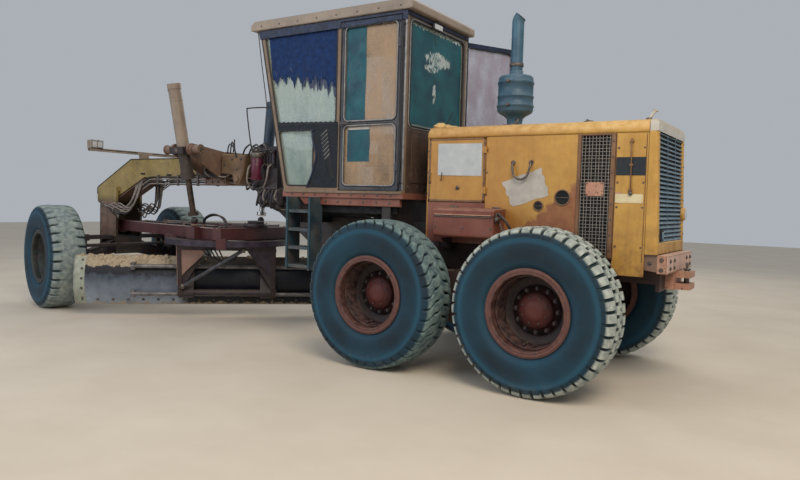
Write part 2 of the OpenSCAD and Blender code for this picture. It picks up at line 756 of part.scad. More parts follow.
module seat() {
    color("#3c3f47") {
        seat_x = cab_rear_x + 260;
        box([seat_x + 50, -seat_w * 0.3, cab_floor_top + seat_gap],
            [seat_x + 450, seat_w * 0.3, cab_floor_top + 301]);
        box([seat_x, -seat_w / 2, cab_floor_top + 300], [seat_x + 500, seat_w / 2, cab_floor_top + 430]);
        translate([seat_x, 0, cab_floor_top + 300]) rotate([0, -10, 0])
            box([-60, 10 - seat_w / 2, 0], [60, seat_w / 2 - 10, 650]);
    }
}

module control_console() {
    color(steel_dark) {
        console_x = cab_foot_x - 350;
        box([console_x, -220, cab_floor_top + seat_gap], [console_x + 170, 220, cab_floor_top + 520]);
        translate([console_x + 70, 0, cab_floor_top + 500]) rotate([0, -35, 0]) {
            bar_z(30, 0, 260);
            translate([0, 0, 250]) rotate_extrude() translate([190, 0]) circle(14);
            box([-190, -14, 240], [190, 14, 260]);
        }
    }
}

// Steps below the front corners of the cab
module steps() {
    color(grille_blue) both_sides() {
        step_x = cab_foot_x - 190;
        for (x = [step_x - step_w - 20, step_x])
            box([x, cab_hw - 50, step_z], [x + 20, cab_hw + 150, cab_z]);
        for (z = [step_z + 20:190:cab_z - 100])
            box([step_x - step_w - 1, cab_hw - 20, z], [step_x + 1, cab_hw + 140, z + 30]);
    }
}

// Front axle: arched beam with a bore for its centre pin and forks at its ends
beam_end_y = lean_y - 70;
fork_end_r = 55;
module front_axle() {
    color(steel_dark) difference() {
        union() {
            translate([front_axle_x, 0, 0]) along_x(-50, 50) polygon([
                [-beam_end_y, lean_z - 70], [-150, axle_pin_z - 100], [150, axle_pin_z - 100],
                [beam_end_y, lean_z - 70], [beam_end_y, lean_z + 70], [180, axle_pin_z + 80],
                [-180, axle_pin_z + 80], [-beam_end_y, lean_z + 70]]);
            translate([0, 0, axle_pin_z])
                bar_x(80, front_axle_x - axle_gap + seat_gap, front_plate_x - seat_gap);
            both_sides() for (dx = [-80, 50]) translate([front_axle_x + dx, 0, 0]) along_x(0, 30) {
                translate([lean_y, lean_z]) circle(fork_end_r);
                translate([beam_end_y - 60, lean_z - fork_end_r])
                    square([lean_y - beam_end_y + 60, 2 * fork_end_r]);
            }
            both_sides() box([front_axle_x - 51, beam_end_y - 60, lean_z - fork_end_r],
                [front_axle_x + 51, beam_end_y, lean_z + fork_end_r]);
        }
        translate([0, 0, axle_pin_z])
            bar_x(pin_r + pin_gap, front_axle_x - axle_gap - 1, front_plate_x + 1);
        both_sides() translate([front_axle_x, lean_y, lean_z]) bar_x(lean_pin_r + pin_gap, -81, 81);
    }
}
lean_pin_r = 28;

// Lean bracket: upright that tilts on the axle end and carries the kingpin
king_r = 38;
king_low = lean_z - 60;
king_high = lean_z + 110;
web_hw = 28;
module lean_bracket_form() {
    translate([front_axle_x, 0, 0]) {
        translate([0, lean_y, lean_z]) bar_x(45, -45, 45);
        translate([0, lean_y, lean_z]) bar_x(lean_pin_r, -80, 80);
        box([-web_hw, lean_y - 30, lean_z + 10], [web_hw, lean_y + 30, lean_bar_z - 30]);
        translate([0, lean_y, lean_bar_z]) bar_x(45, -45, 45);
        translate([0, lean_y, lean_bar_z]) bar_x(22, -90, 90);
        for (z = [king_low - 40, king_high]) {
            box([-45, lean_y - 20, z], [45, king_y, z + 40]);
            translate([0, king_y, 0]) bar_z(55, z, z + 40);
        }
        box([-web_hw, lean_y - 20, king_low - 40], [web_hw, lean_y + 30, king_high + 40]);
        translate([0, king_y, 0]) bar_z(king_r, king_low - 10, king_high + 10);
    }
}
module lean_bracket_left() {
    color(steel_dark) lean_bracket_form();
}
module lean_bracket_right() {
    color(steel_dark) mirror([0, 1, 0]) lean_bracket_form();
}
module lean_bar() {
    color(steel_dark) translate([front_axle_x, 0, lean_bar_z]) difference() {
        union() {
            for (dx = [-90, 60]) {
                both_sides() translate([dx, lean_y, 0]) bar_x(45, 0, 30);
                box([dx, -lean_y, -25], [dx + 30, lean_y, 25]);
            }
            for (y = [-300, 280]) box([-61, y, -20], [61, y + 20, 20]);
        }
        both_sides() translate([0, lean_y, 0]) bar_x(22 + pin_gap, -91, 91);
    }
}

// Knuckle: hub that turns on the kingpin, with the wheel's stub and the steering arm
arm_x = -262;
arm_z = king_high - 20;
steer_arm_t = 30;
arm_hw = 22;
tie_r = 30;
module knuckle_form() {
    difference() {
        union() {
            bar_z(55, king_low + seat_gap, king_high - seat_gap);
            translate([0, 0, axle_z]) bar_y(stub_r, 20, wheel_y - king_y + stub_end);
            box([arm_x, -arm_hw, arm_z - steer_arm_t / 2], [-40, arm_hw, arm_z + steer_arm_t / 2]);
            translate([arm_x, 0, 0]) bar_z(arm_hw + 12, arm_z - steer_arm_t / 2, arm_z + steer_arm_t / 2);
        }
        bar_z(king_r + pin_gap, king_low, king_high);
        translate([arm_x, 0, arm_z + steer_arm_t / 2]) sphere(tie_r + seat_gap);
    }
}
module knuckle_left() {
    color(steel_dark) at_knuckle(1) knuckle_form();
}
module knuckle_right() {
    color(steel_dark) at_knuckle(-1) knuckle_form();
}

// Tie rod between the steering arms, with its ball on the left arm
arm_tip = [arm_x * cos(steer_rest), arm_x * sin(steer_rest)];
left_ball = arm_tip + [front_axle_x, king_y];
right_ball = arm_tip + [front_axle_x, -king_y];
tie_ball_z = arm_z + steer_arm_t / 2;
tie_rise = tie_r + 12;
tie_free_r = 20;
module tie_ball() {
    color(steel_dark) translate([left_ball[0], left_ball[1], tie_ball_z]) sphere(tie_r);
}
module tie_rod() {
    d = right_ball - left_ball;
    len = norm(d);
    color(steel_dark) translate([left_ball[0], left_ball[1], tie_ball_z + tie_rise])
        rotate(atan2(d[1], d[0])) {
            difference() {
                union() {
                    bar_x(22, 0, len);
                    for (x = [0, len]) translate([x, 0, 0]) bar_z(32, 20 - tie_rise, 24);
                }
                translate([0, 0, -tie_rise]) sphere(tie_r + seat_gap);
            }
            translate([len, 0, -tie_rise]) sphere(tie_free_r);
            translate([len, 0, 0]) bar_z(12, -tie_rise, 0);
        }
}

// Drawbar: ball socket, two arms, rear cross member and the guides of the circle
eye_r = 88;
drawbar_h = 150;
drawbar_low = circle_z + circle_t + seat_gap;
lift_ball = [circle_x, 560, drawbar_low + drawbar_h + 75 - seat_gap];
lift_ball_r = 42;
module drawbar_ball() {
    color(steel_dark) translate([ball_x, 0, ball_z]) sphere(ball_r);
}
module drawbar() {
    rear_x = circle_x - 520;
    color(rust) difference() {
        union() {
            translate([ball_x, 0, ball_z]) bar_x(eye_r, -120, -10);
            drawbar_arm();
            mirror([0, 1, 0]) drawbar_arm();
            box([rear_x, -620, drawbar_low + 10], [rear_x + 140, 620, drawbar_low + drawbar_h]);
            box([circle_x - 70, -620, drawbar_low + 10], [circle_x + 70, 620, drawbar_low + drawbar_h]);
            for (a = guide_angles) translate([circle_x, 0, 0]) rotate(a) circle_guide();
            both_sides() translate([lift_ball[0], lift_ball[1], 0])
                bar_z(24, drawbar_low + drawbar_h - 10, lift_ball[2]);
            both_sides() translate(lift_ball) sphere(lift_ball_r);
        }
        translate([ball_x, 0, ball_z]) sphere(ball_r + seat_gap);
    }
}
// Shoe that laps over the rim of the circle and holds it up
guide_angles = [31, -31, 130, -130];
guide_hw = 55;
lip_t = 25;
module circle_guide() {
    rim = circle_d / 2;
    box([rim - ring_w, -guide_hw, drawbar_low], [rim + 43, guide_hw, drawbar_low + 30]);
    box([rim + 3, -guide_hw, circle_z - lip_t], [rim + 43, guide_hw, drawbar_low + 30]);
    box([rim - 15, -guide_hw, circle_z - lip_t], [rim + 43, guide_hw, circle_z - seat_gap]);
}
// One arm of the drawbar, from the ball socket out to the rear cross member
module drawbar_arm() {
    translate([0, 0, drawbar_low + 10]) linear_extrude(drawbar_h - 10)
        polygon([[ball_x - 90, -10], [ball_x - 90, 62], [circle_x - 500, 620], [circle_x - 500, 480]]);
}

// Circle: ring with the two arms that carry the blade, set at the blade's angle
ring_w = 130;
arm_x_out = 530;
arm_t = 50;
tip_y = 200;
tip_z = 330;
tip_pin_r = 30;
gusset_y = 275;
module in_blade_frame() {
    translate([circle_x, 0, 0]) rotate(blade_angle) children();
}
module turning_circle() {
    color(rust) {
        translate([circle_x, 0, 0]) difference() {
            bar_z(circle_d / 2, circle_z, circle_z + circle_t);
            bar_z(circle_d / 2 - ring_w, circle_z - 1, circle_z + circle_t + 1);
        }
        in_blade_frame() {
            difference() {
                for (x = [-arm_x_out - arm_t, arm_x_out]) along_x(x, x + arm_t) {
                    translate([tip_y, tip_z]) circle(65);
                    polygon([[tip_y - 35, tip_z + 20], [tip_y - 35, tip_z + 370], [-40, circle_z + 1],
                        [440, circle_z + 1], [tip_y + 63, tip_z - 15]]);
                }
                translate([0, tip_y, tip_z])
                    bar_x(tip_pin_r + pin_gap, -arm_x_out - arm_t - 1, arm_x_out + arm_t + 1);
            }
            for (y = [380, -440]) box([-arm_x_out - arm_t, y, circle_z - 60],
                [arm_x_out + arm_t, y + 60, circle_z + 1]);
            for (side = side_names) mirror([side < 0 ? 1 : 0, 0, 0]) along_y(gusset_y, gusset_y + 20)
                polygon([[arm_x_out + arm_t, circle_z + 1], [arm_x_out - 280, circle_z + 1],
                    [arm_x_out - 280, circle_z - 70], [arm_x_out, tip_z + 60],
                    [arm_x_out + arm_t, tip_z + 60]]);
        }
    }
}

// Blade carrier: tips on the circle's arms, with bushings for the blade's two rails
rail_r = 26;
rail_low = [114, 300];
rail_high = [103, 640];
bush_r = 50;
bush_in = 400;
module blade_carrier() {
    color(steel_dark) in_blade_frame() difference() {
        union() {
            for (side = side_names) mirror([side < 0 ? 1 : 0, 0, 0]) {
                along_x(bush_in, arm_x_out - seat_gap) {
                    translate([tip_y, tip_z]) circle(60);
                    for (p = [rail_low, rail_high]) translate(p) circle(bush_r);
                    polygon([rail_low, [tip_y + 30, tip_z - 50], [tip_y + 50, tip_z + 30],
                        rail_high + [45, 20], rail_high]);
                }
                translate([0, tip_y, tip_z]) bar_x(tip_pin_r, bush_in, arm_x_out + arm_t);
            }
            translate([0, tip_y, tip_z]) bar_x(40, -bush_in - 1, bush_in + 1);
        }
        for (p = [rail_low, rail_high]) translate([0, p[0], p[1]])
            bar_x(rail_r + pin_gap, -arm_x_out, arm_x_out);
    }
}

// Moldboard: curved plate with its cutting edge, end bits and the two side-shift rails
blade_r = 420;
blade_mid_z = blade_z + blade_h / 2;
blade_yc = -360;
rail_end = 1160;
module moldboard() {
    color("#b9a98c") in_blade_frame() {
        along_x(-blade_l / 2, blade_l / 2) intersection() {
            translate([blade_yc, blade_mid_z]) difference() {
                circle(blade_r + blade_t, $fn = 96);
                circle(blade_r, $fn = 96);
            }
            translate([blade_yc, blade_z]) square([blade_r + blade_t + 10, blade_h]);
        }
        for (p = [rail_low, rail_high]) {
            translate([0, p[0], p[1]]) bar_x(rail_r, -rail_end, rail_end);
            for (x = [-rail_end, rail_end - 50]) {
                back_y = blade_yc + sqrt(pow(blade_r + blade_t / 2, 2) - pow(p[1] - blade_mid_z, 2));
                box([x, back_y, p[1] - 45], [x + 50, p[0] + 20, p[1] + 45]);
            }
        }
    }
}

// Lift cylinders: gimbal yoke, barrel and rod on the line from the trunnion to the drawbar ball
lift_line = [trunnion_x, trunnion_y, trunnion_z] - lift_ball;
lift_len = norm(lift_line);
lift_roll = -atan(lift_line[1] / lift_line[2]);
lift_lean = asin(lift_line[0] / lift_len);
barrel_r = 72;
barrel_up = 740;
barrel_down = 330;
rod_r = 35;
yoke_in = 88;
yoke_out = 114;
yoke_h = 38;
eye_gap = 18;
pad_t = 45;
module at_trunnion() {
    translate([trunnion_x, trunnion_y, trunnion_z]) rotate([lift_roll, 0, 0]) children();
}
module lift_yoke_form() {
    at_trunnion() {
        difference() {
            box([-yoke_out, -yoke_out, -yoke_h], [yoke_out, yoke_out, yoke_h]);
            box([-yoke_in, -yoke_in, -yoke_h - 1], [yoke_in, yoke_in, yoke_h + 1]);
            bar_y(24 + pin_gap, -yoke_out - 1, yoke_out + 1);
        }
        bar_x(trunnion_r, -fork_hw - 5, -yoke_in);
        bar_x(trunnion_r, yoke_in, fork_hw + 5);
    }
}
module lift_barrel_form() {
    at_trunnion() rotate([0, lift_lean, 0]) difference() {
        union() {
            bar_z(barrel_r, -barrel_down, barrel_up);
            bar_z(barrel_r + 10, -barrel_down - 20, -barrel_down + 50);
            bar_z(barrel_r + 6, barrel_up - 40, barrel_up + 20);
            bar_y(24, -yoke_out, yoke_out);
        }
        bar_z(rod_r + pin_gap, -barrel_down - 21, barrel_up - 60);
    }
}
module lift_rod_form() {
    at_trunnion() rotate([0, lift_lean, 0]) {
        bar_z(rod_r, eye_gap + lift_ball_r - lift_len, 200);
        bar_z(62, eye_gap + lift_ball_r - lift_len, eye_gap + lift_ball_r + pad_t - lift_len);
    }
}
module lift_yoke_left() {
    color(steel_dark) lift_yoke_form();
}
module lift_yoke_right() {
    color(steel_dark) mirror([0, 1, 0]) lift_yoke_form();
}
module lift_barrel_left() {
    color(paint) lift_barrel_form();
}
module lift_barrel_right() {
    color(rubber) mirror([0, 1, 0]) lift_barrel_form();
}
module lift_rod_left() {
    color("silver") lift_rod_form();
}
module lift_rod_right() {
    color("silver") mirror([0, 1, 0]) lift_rod_form();
}

rear_frame();
engine_block();
hood();
radiator_guard();
rear_bumper();
muffler();
tool_box();
hood_door_left();
hood_door_right();
tandem_left();
tandem_right();
tyre(rear_wheel_x, 1);  // tyre_rear_left
rim(rear_wheel_x, 1);  // rim_rear_left
tyre(rear_wheel_x, -1);  // tyre_rear_right
rim(rear_wheel_x, -1);  // rim_rear_right
tyre(middle_wheel_x, 1);  // tyre_middle_left
rim(middle_wheel_x, 1);  // rim_middle_left
tyre(middle_wheel_x, -1);  // tyre_middle_right
rim(middle_wheel_x, -1);  // rim_middle_right
front_frame();
lift_saddle();
lamp_bar();
valve_bank();
cab_floor();
cab_front();
cab_rear();
cab_side_left();
cab_side_right();
cab_roof();
cab_glass();
seat();
control_console();
steps();
cab_door_left();
cab_door_right();
door_glass_left();
door_glass_right();
front_axle();
lean_bracket_left();
lean_bracket_right();
lean_bar();
knuckle_left();
knuckle_right();
tie_ball();
tie_rod();
front_tyre(1);  // tyre_front_left
front_rim(1);  // rim_front_left
front_tyre(-1);  // tyre_front_right
front_rim(-1);  // rim_front_right
drawbar_ball();
drawbar();
turning_circle();
blade_carrier();
moldboard();
lift_yoke_left();
lift_yoke_right();
lift_barrel_left();
lift_barrel_right();
lift_rod_left();
lift_rod_right();
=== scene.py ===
import math
import random

import bmesh
import bpy
import numpy as np
from mathutils import Matrix, Vector


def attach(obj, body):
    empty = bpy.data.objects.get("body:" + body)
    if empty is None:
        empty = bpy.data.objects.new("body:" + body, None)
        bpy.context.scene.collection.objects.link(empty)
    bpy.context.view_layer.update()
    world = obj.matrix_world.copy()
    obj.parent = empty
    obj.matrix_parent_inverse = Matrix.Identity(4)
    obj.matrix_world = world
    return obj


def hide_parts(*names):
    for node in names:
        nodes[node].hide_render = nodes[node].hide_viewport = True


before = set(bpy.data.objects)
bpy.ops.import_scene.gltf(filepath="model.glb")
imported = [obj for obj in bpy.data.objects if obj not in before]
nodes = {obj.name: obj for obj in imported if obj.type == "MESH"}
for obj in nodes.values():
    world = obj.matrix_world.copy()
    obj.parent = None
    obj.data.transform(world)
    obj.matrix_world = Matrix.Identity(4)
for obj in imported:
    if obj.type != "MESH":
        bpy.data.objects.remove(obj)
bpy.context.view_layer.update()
print("frame loaded")

# sizes that part.scad sets, in metres
wheelY = 0.985
kingY = 0.705
frontX = 3.488
tandemX = -2.43
middleX = tandemX + 0.761
rearX = tandemX - 0.761
axleZ = 0.675
steerRest = math.radians(-15)
hoodFoot = 1.15
cabRear = -1.66
cabHW = 0.61
cabZ = 1.54
roofZ = 3.33
bladeAngle = math.radians(43)
circleX = 1.32


def rgb(code, alpha=1.0):
    # linear colour of an sRGB hex code
    values = [int(code[i : i + 2], 16) / 255 for i in (0, 2, 4)]
    linear = [v / 12.92 if v <= 0.04045 else ((v + 0.055) / 1.055) ** 2.4 for v in values]
    return (*linear, alpha)


kinds = {  # short name: node, inputs that a call fills in turn, output it gives back, settings
    "place": ("TexCoord", (), "Object", {}),
    "facing": ("NewGeometry", (), "Normal", {}),
    "x": ("SeparateXYZ", (0,), 0, {}),
    "y": ("SeparateXYZ", (0,), 1, {}),
    "z": ("SeparateXYZ", (0,), 2, {}),
    "stretch": ("Mapping", ("Vector", "Scale"), "Vector", {}),
    "noise": ("TexNoise", ("Vector", "Scale", "Detail", "Roughness", "Distortion"), "Fac", {}),
    "ramp": ("MapRange", ("Value", "From Min", "From Max", "To Min", "To Max"), "Result", {}),
    "mix": ("Mix", (0, 6, 7), 2, {"data_type": "RGBA"}),
    "add": ("Math", (0, 1), 0, {"operation": "ADD"}),
    "take": ("Math", (0, 1), 0, {"operation": "SUBTRACT"}),
    "times": ("Math", (0, 1), 0, {"operation": "MULTIPLY"}),
    "most": ("Math", (0, 1), 0, {"operation": "MAXIMUM"}),
    "root": ("Math", (0,), 0, {"operation": "SQRT"}),
    "dot": ("VectorMath", (0, 1), "Value", {"operation": "DOT_PRODUCT"}),
    "rounded": ("Bevel", ("Radius",), "Normal", {"samples": 4}),
    "bump": ("Bump", ("Strength", "Distance", "Height"), "Normal", {}),
    "attribute": ("Attribute", (), "Fac", {}),
}


class Net:
    # the nodes of one new material, or more nodes for one that is there

    def __init__(self, name=None, over=None):
        self.material = over or bpy.data.materials.new(name)
        self.material.use_nodes = True
        self.nodes, self.links = self.material.node_tree.nodes, self.material.node_tree.links
        self.shader = self.nodes["Principled BSDF"]
        self.place = self.add("place")
        self.normal = self.add("facing")

    def add(self, kind, *values, **settings):
        # adds a node with its settings, and fills its inputs with numbers or with links
        node, inputs, output, fixed = kinds[kind]
        made = self.nodes.new("ShaderNode" + node)
        for key, value in {**fixed, **settings}.items():
            setattr(made, key, value)
        for key, value in zip(inputs, values):
            self.put(made.inputs[key], value)
        return made.outputs[output]

    def put(self, socket, value):
        if isinstance(value, bpy.types.NodeSocket):
            self.links.new(value, socket)
        else:
            socket.default_value = value

    def patches(self, mm, low, high, detail=3, rough=0.55, least=0.0, full=1.0, stretch=None):
        # clouds of about the given size in mm: noise, cut between two of its levels
        place = self.add("stretch", self.place, stretch) if stretch else self.place
        return self.add("ramp", self.add("noise", place, 1000 / mm, detail, rough), low, high, least, full)

    def edges(self, radius, low=0.03, high=0.2):
        # share of wear at sharp edges: how far the normal leaves one rounded over the radius
        gap = self.add("dot", self.add("rounded", radius), self.normal)
        return self.add("ramp", self.add("take", 1.0, gap), low, high)

    def under(self):
        # what the base colour is linked to so far
        return self.shader.inputs["Base Color"].links[0].from_socket

    def finish(self, colour, rough, normal=None, metal=0.0):
        self.put(self.shader.inputs["Base Color"], colour)
        self.put(self.shader.inputs["Roughness"], rough)
        self.put(self.shader.inputs["Metallic"], metal)
        if normal is not None:
            self.put(self.shader.inputs["Normal"], normal)
        return self.material


weathering = {  # what a paint may change: tones, sizes in mm, shares, levels of noise, heights in metres
    "rust": "6b3a26", "rustDark": "3a2018", "dust": "b39a78",
    "patch": 420, "cloud": 90, "grain": 2.2, "chip": 26, "dents": 3.0,
    "mottle": 0.35, "runs": 0.25, "wear": 0.9, "lowRust": 0.5, "dustUp": 0.6, "film": 0.25,
    "chipFrom": 0.63, "upFrom": 0.15, "upTo": 0.9, "lowFrom": 1.5, "lowTo": 1.15, "rough": 0.46,
}


def paint(name, base, light, dark, **changes):
    # Old sprayed enamel on steel: chalky patches of two tones, dark runs down the sides, brown rust in chips,
    # at edges and low down, and dust on what faces up
    look = {**weathering, **changes}
    net = Net(name)
    colour = net.add("mix", net.patches(look["patch"], 0.35, 0.68, 4), rgb(base), rgb(light))
    for share, cloud in ((look["mottle"], net.patches(look["cloud"], 0.3, 0.72, 5, 0.6)),
                         (look["runs"], net.patches(30, 0.52, 0.78, 3, 0.5, stretch=(1, 1, 0.06)))):
        colour = net.add("mix", net.add("times", cloud, share), colour, rgb(dark))
    chips = net.patches(look["chip"], look["chipFrom"], look["chipFrom"] + 0.03, 6, 0.68)
    wear = net.add("times", net.edges(0.006), net.patches(14, 0.36, 0.6, 4))
    low = net.add("ramp", net.add("z", net.place), look["lowFrom"], look["lowTo"])
    lowRust = net.add("times", low, net.patches(120, 0.42, 0.66, 5, 0.62))
    rust = net.add("most", chips, net.add("times", lowRust, look["lowRust"]))
    rust = net.add("most", net.add("times", wear, look["wear"]), rust)
    rustTone = net.add("mix", net.patches(16, 0.4, 0.62, 4), rgb(look["rust"]), rgb(look["rustDark"]))
    colour = net.add("mix", rust, colour, rustTone)
    up = net.add("ramp", net.add("z", net.normal), look["upFrom"], look["upTo"])
    dusty = net.add("times", up, net.patches(70, 0.25, 0.6, 5, 0.6))
    film = net.add("times", net.patches(190, 0.35, 0.75, 5, 0.6), look["film"])
    dusty = net.add("most", net.add("times", dusty, look["dustUp"]), film)
    colour = net.add("mix", dusty, colour, rgb(look["dust"]))
    rough = net.add("ramp", net.add("most", rust, dusty), 0.0, 1.0, look["rough"], 0.88)
    grain = net.add("times", net.add("noise", net.place, 1000 / look["grain"], 2, 0.6), 0.25)
    dents = net.add("times", net.add("noise", net.place, 1000 / 260, 2, 0.55), look["dents"])
    height = net.add("add", net.add("add", grain, net.add("times", rust, -1.2)), dents)
    return net.finish(colour, rough, net.add("bump", 0.7, 0.001, height))


def plain(name, a, b, mm=40, rough=0.5, metal=0.0, bump=0.4, grain=3.0, dust=0.25, dustTone="9c8c78"):
    # A finish of two tones in clouds of mm, with fine grain, and some dust on what faces up
    net = Net(name)
    colour = net.add("mix", net.patches(mm, 0.33, 0.68, 5, 0.6), rgb(a), rgb(b))
    up = net.add("times", net.add("ramp", net.add("z", net.normal), 0.2, 0.95), net.patches(50, 0.3, 0.62, 5))
    colour = net.add("mix", net.add("times", up, dust), colour, rgb(dustTone))
    broad = net.add("times", net.add("noise", net.place, 1000 / mm, 3, 0.55), 1.5)
    height = net.add("add", net.add("noise", net.place, 1000 / grain, 3, 0.6), broad)
    least, full = max(rough - 0.1, 0.02), min(rough + 0.14, 1.0)
    roughness = net.patches(mm * 0.6, 0.3, 0.7, 4, least=least, full=full)
    return net.finish(colour, roughness, net.add("bump", 0.6, bump / 1000, height), metal)


# sprayed machine enamels: each shows its own faded tone, rust of the steel below, and field dust
tan = paint("greasy_tan_casting_paint", "624a35", "78604a", "3d2e22", rust="5b3a28", chipFrom=0.64, dents=1.5)
redBrown = paint("faded_red_brown_paint", "7c4233", "8d5242", "55291f", rust="5a3324", dust="a58d77",
                 lowFrom=0.9, lowTo=0.3, chipFrom=0.66, film=0.22, dents=2.0)
blueGrey = paint("chalky_blue_grey_paint", "4a6379", "64809a", "2c3d4d", rust="6b4632", dust="a79b8c",
                 chipFrom=0.66, film=0.22, dents=1.0)
palePaint = paint("sun_bleached_grey_paint", "b5b3ac", "c9c7bf", "8f8c86", rust="6f5a4a", chipFrom=0.68,
                  film=0.2, dents=1.5)
# forged and cast steel under oil: near black, satin, with rust where the oil has gone
darkSteel = paint("oily_dark_steel", "1d1923", "2e2733", "0d0c13", rust="472c25", rustDark="20140f",
                  dust="7c6c5e", lowFrom=1.0, lowTo=0.3, chipFrom=0.62, film=0.2, rough=0.42, dents=1.0)
frameDark = paint("oily_red_brown_frame_paint", "2e1f1f", "452c28", "15100f", rust="4a2c22",
                  rustDark="1f1412", dust="7b6a5c", lowFrom=0.9, lowTo=0.3, chipFrom=0.66, film=0.18,
                  rough=0.5, dents=1.5)
castBrown = paint("greasy_brown_casting", "6c5346", "86695a", "3b2c28", rust="5d3a2c", dust="a08a76",
                  chipFrom=0.62, film=0.3, dents=1.0)
# primer bared by the weather: matt pink over rust
pinkRust = paint("pink_primer_over_rust", "b5816a", "c99b84", "8a5646", rust="6a3728", dust="c0a78c",
                 chipFrom=0.6, dents=3.0)


def makeBarrelPaint():
    # Dust-greyed enamel that turns black with grease below the barrel's trunnion
    net = Net(over=paint("dust_greyed_barrel_paint", "85766a", "9c8c7c", "5c5048", rust="5f4436",
                         dust="ab9c8a", chipFrom=0.66, film=0.3, dents=1.0))
    old = net.under()
    grease = net.add("mix", net.patches(50, 0.35, 0.68, 5, 0.6), rgb("231c1f"), rgb("40332f"))
    height = net.add("add", net.add("z", net.place), net.patches(70, 0.3, 0.7, 4, least=-0.03, full=0.03))
    share = net.add("ramp", height, 2.1, 2.0, 0.0, 0.94)
    net.put(net.shader.inputs["Base Color"], net.add("mix", share, old, grease))
    return net.material


def makeFramePaint():
    # Khaki enamel on the front arm, near black as painted shade from the lift saddle back to the pin, and low
    # down
    net = Net(over=paint("khaki_paint_with_painted_shade", "94803f", "a8935a", "5e5030", rust="5b3a2a", lowFrom=1.4,
                         lowTo=0.9, chipFrom=0.62, film=0.3, mottle=0.6, dents=1.5))
    old = net.under()
    along = net.add("add", net.add("x", net.place), net.patches(220, 0.3, 0.7, 5, 0.6, least=-0.18,
                                                                full=0.18))
    # near black: painted shade under the cab and under the arm
    black = net.add("mix", net.patches(60, 0.35, 0.68, 5, 0.6), rgb("17151b"), rgb("2f2728"))
    low = net.add("times", net.add("ramp", net.add("z", net.place), 1.5, 1.36), 0.92)
    share = net.add("most", net.add("times", net.add("ramp", along, 1.45, 0.95), 0.96), low)
    net.put(net.shader.inputs["Base Color"], net.add("mix", share, old, black))
    return net.material


def makeRimPaint(name, centreX, flange, barrel, hub):
    # Pressed steel rim in old paint: tones by the distance from the axle, a near-black well that is grime and
    # painted shade, and pale sharp edges that are bare wear and a painted highlight
    net = Net(name)
    offX = net.add("take", net.add("x", net.place), centreX)
    offZ = net.add("take", net.add("z", net.place), axleZ)
    reach = net.add("root", net.add("add", net.add("times", offX, offX), net.add("times", offZ, offZ)))
    reach = net.add("add", reach, net.patches(90, 0.3, 0.7, 4, least=-0.015, full=0.015))
    outer = net.add("mix", net.patches(70, 0.3, 0.7, 5, 0.6), rgb(flange), rgb(flange[:2] + "3a32"))
    # near black in the well between hub and flange: grime and painted shade
    colour = net.add("mix", net.add("ramp", reach, 0.275, 0.315), rgb(barrel), outer)
    colour = net.add("mix", net.add("ramp", reach, 0.19, 0.09), colour, rgb(hub))
    dust = net.add("times", net.patches(45, 0.45, 0.72, 5, 0.62),
                   net.add("ramp", reach, 0.2, 0.3, 0.05, 0.24))
    colour = net.add("mix", dust, colour, rgb("8c7468"))
    # pale at sharp edges: bare worn paint, and a painted highlight along the lips
    edge = net.add("times", net.edges(0.006), net.patches(30, 0.35, 0.6))
    colour = net.add("mix", net.add("times", edge, 0.55), colour, rgb("a98478"))
    fine = net.add("times", net.add("noise", net.place, 1000 / 3, 3, 0.55), 0.4)
    height = net.add("add", fine, net.add("noise", net.place, 1000 / 60, 3, 0.55))
    rough = net.add("ramp", dust, 0.0, 0.22, 0.6, 0.85)
    return net.finish(colour, rough, net.add("bump", 0.6, 0.8 / 1000, height))


def makeRubber(name, low, high, groove):
    # Vulcanised rubber: smooth blue-black walls with paler rings that are painted highlights, and a tread
    # bleached and dusted by the sun, its grooves darkened with painted shade
    net = Net(name)
    tread = net.add("attribute", attribute_name="tread")
    wall = net.add("mix", net.patches(420, 0.36, 0.66), rgb("06202e"), rgb("083648"))
    # paler rings near the shoulder and the bead: painted highlights on the walls
    ring = net.add("times", net.add("attribute", attribute_name="ring"), 0.55)
    wall = net.add("mix", ring, wall, rgb("1d566f"))
    top = net.add("mix", net.patches(55, 0.34, 0.66, 5, 0.62), rgb(low), rgb(high))
    ragged = net.add("times", net.add("noise", net.place, 1000 / 18, 4, 0.55), 0.3)
    cut = net.add("add", net.add("attribute", attribute_name="groove"), ragged)
    # darker tone in the tread's grooves: painted shade
    top = net.add("mix", net.add("ramp", cut, 0.35, 1.0), top, rgb(groove))
    colour = net.add("mix", tread, wall, top)
    mud = net.add("times", net.add("ramp", net.add("z", net.place), 0.2, 0.0),
                  net.patches(60, 0.42, 0.66, 5, 0.65))
    colour = net.add("mix", net.add("times", mud, 0.3), colour, rgb("6f665a"))
    broad = net.add("times", net.add("noise", net.place, 1000 / 38, 4, 0.55), 2.0)
    height = net.add("add", net.add("noise", net.place, 1000 / 5, 4, 0.7), broad)
    return net.finish(colour, net.add("ramp", tread, 0, 1, 0.78, 0.95),
                      net.add("bump", 0.6, 0.7 / 1000, height))


def makeGlass(name, tint, dustAndReflectionShare, film="c9c9b8"):
    # Flat safety glass under a film that hides most where it is thick: dust, and on the left door a painted
    # tan reflection
    net = Net(name)
    dustAndReflection = net.patches(160, 0.3, 0.75, 5, 0.62, least=0.0, full=dustAndReflectionShare, stretch=(1, 1, 0.5))
    net.put(net.shader.inputs["Alpha"], net.add("ramp", dustAndReflection, 0.0, 1.0, 0.28, 0.95))
    return net.finish(net.add("mix", dustAndReflection, rgb(tint), rgb(film)), net.add("ramp", dustAndReflection, 0, 1, 0.12, 0.6))


barrelTan = makeBarrelPaint()
khaki = makeFramePaint()
rimRed = {x: makeRimPaint(f"wheel_red_paint_grime_and_painted_shade_{place}", x, "5c3833", "1e1012", "55221c")
          for place, x in (("rear", rearX), ("middle", middleX))}
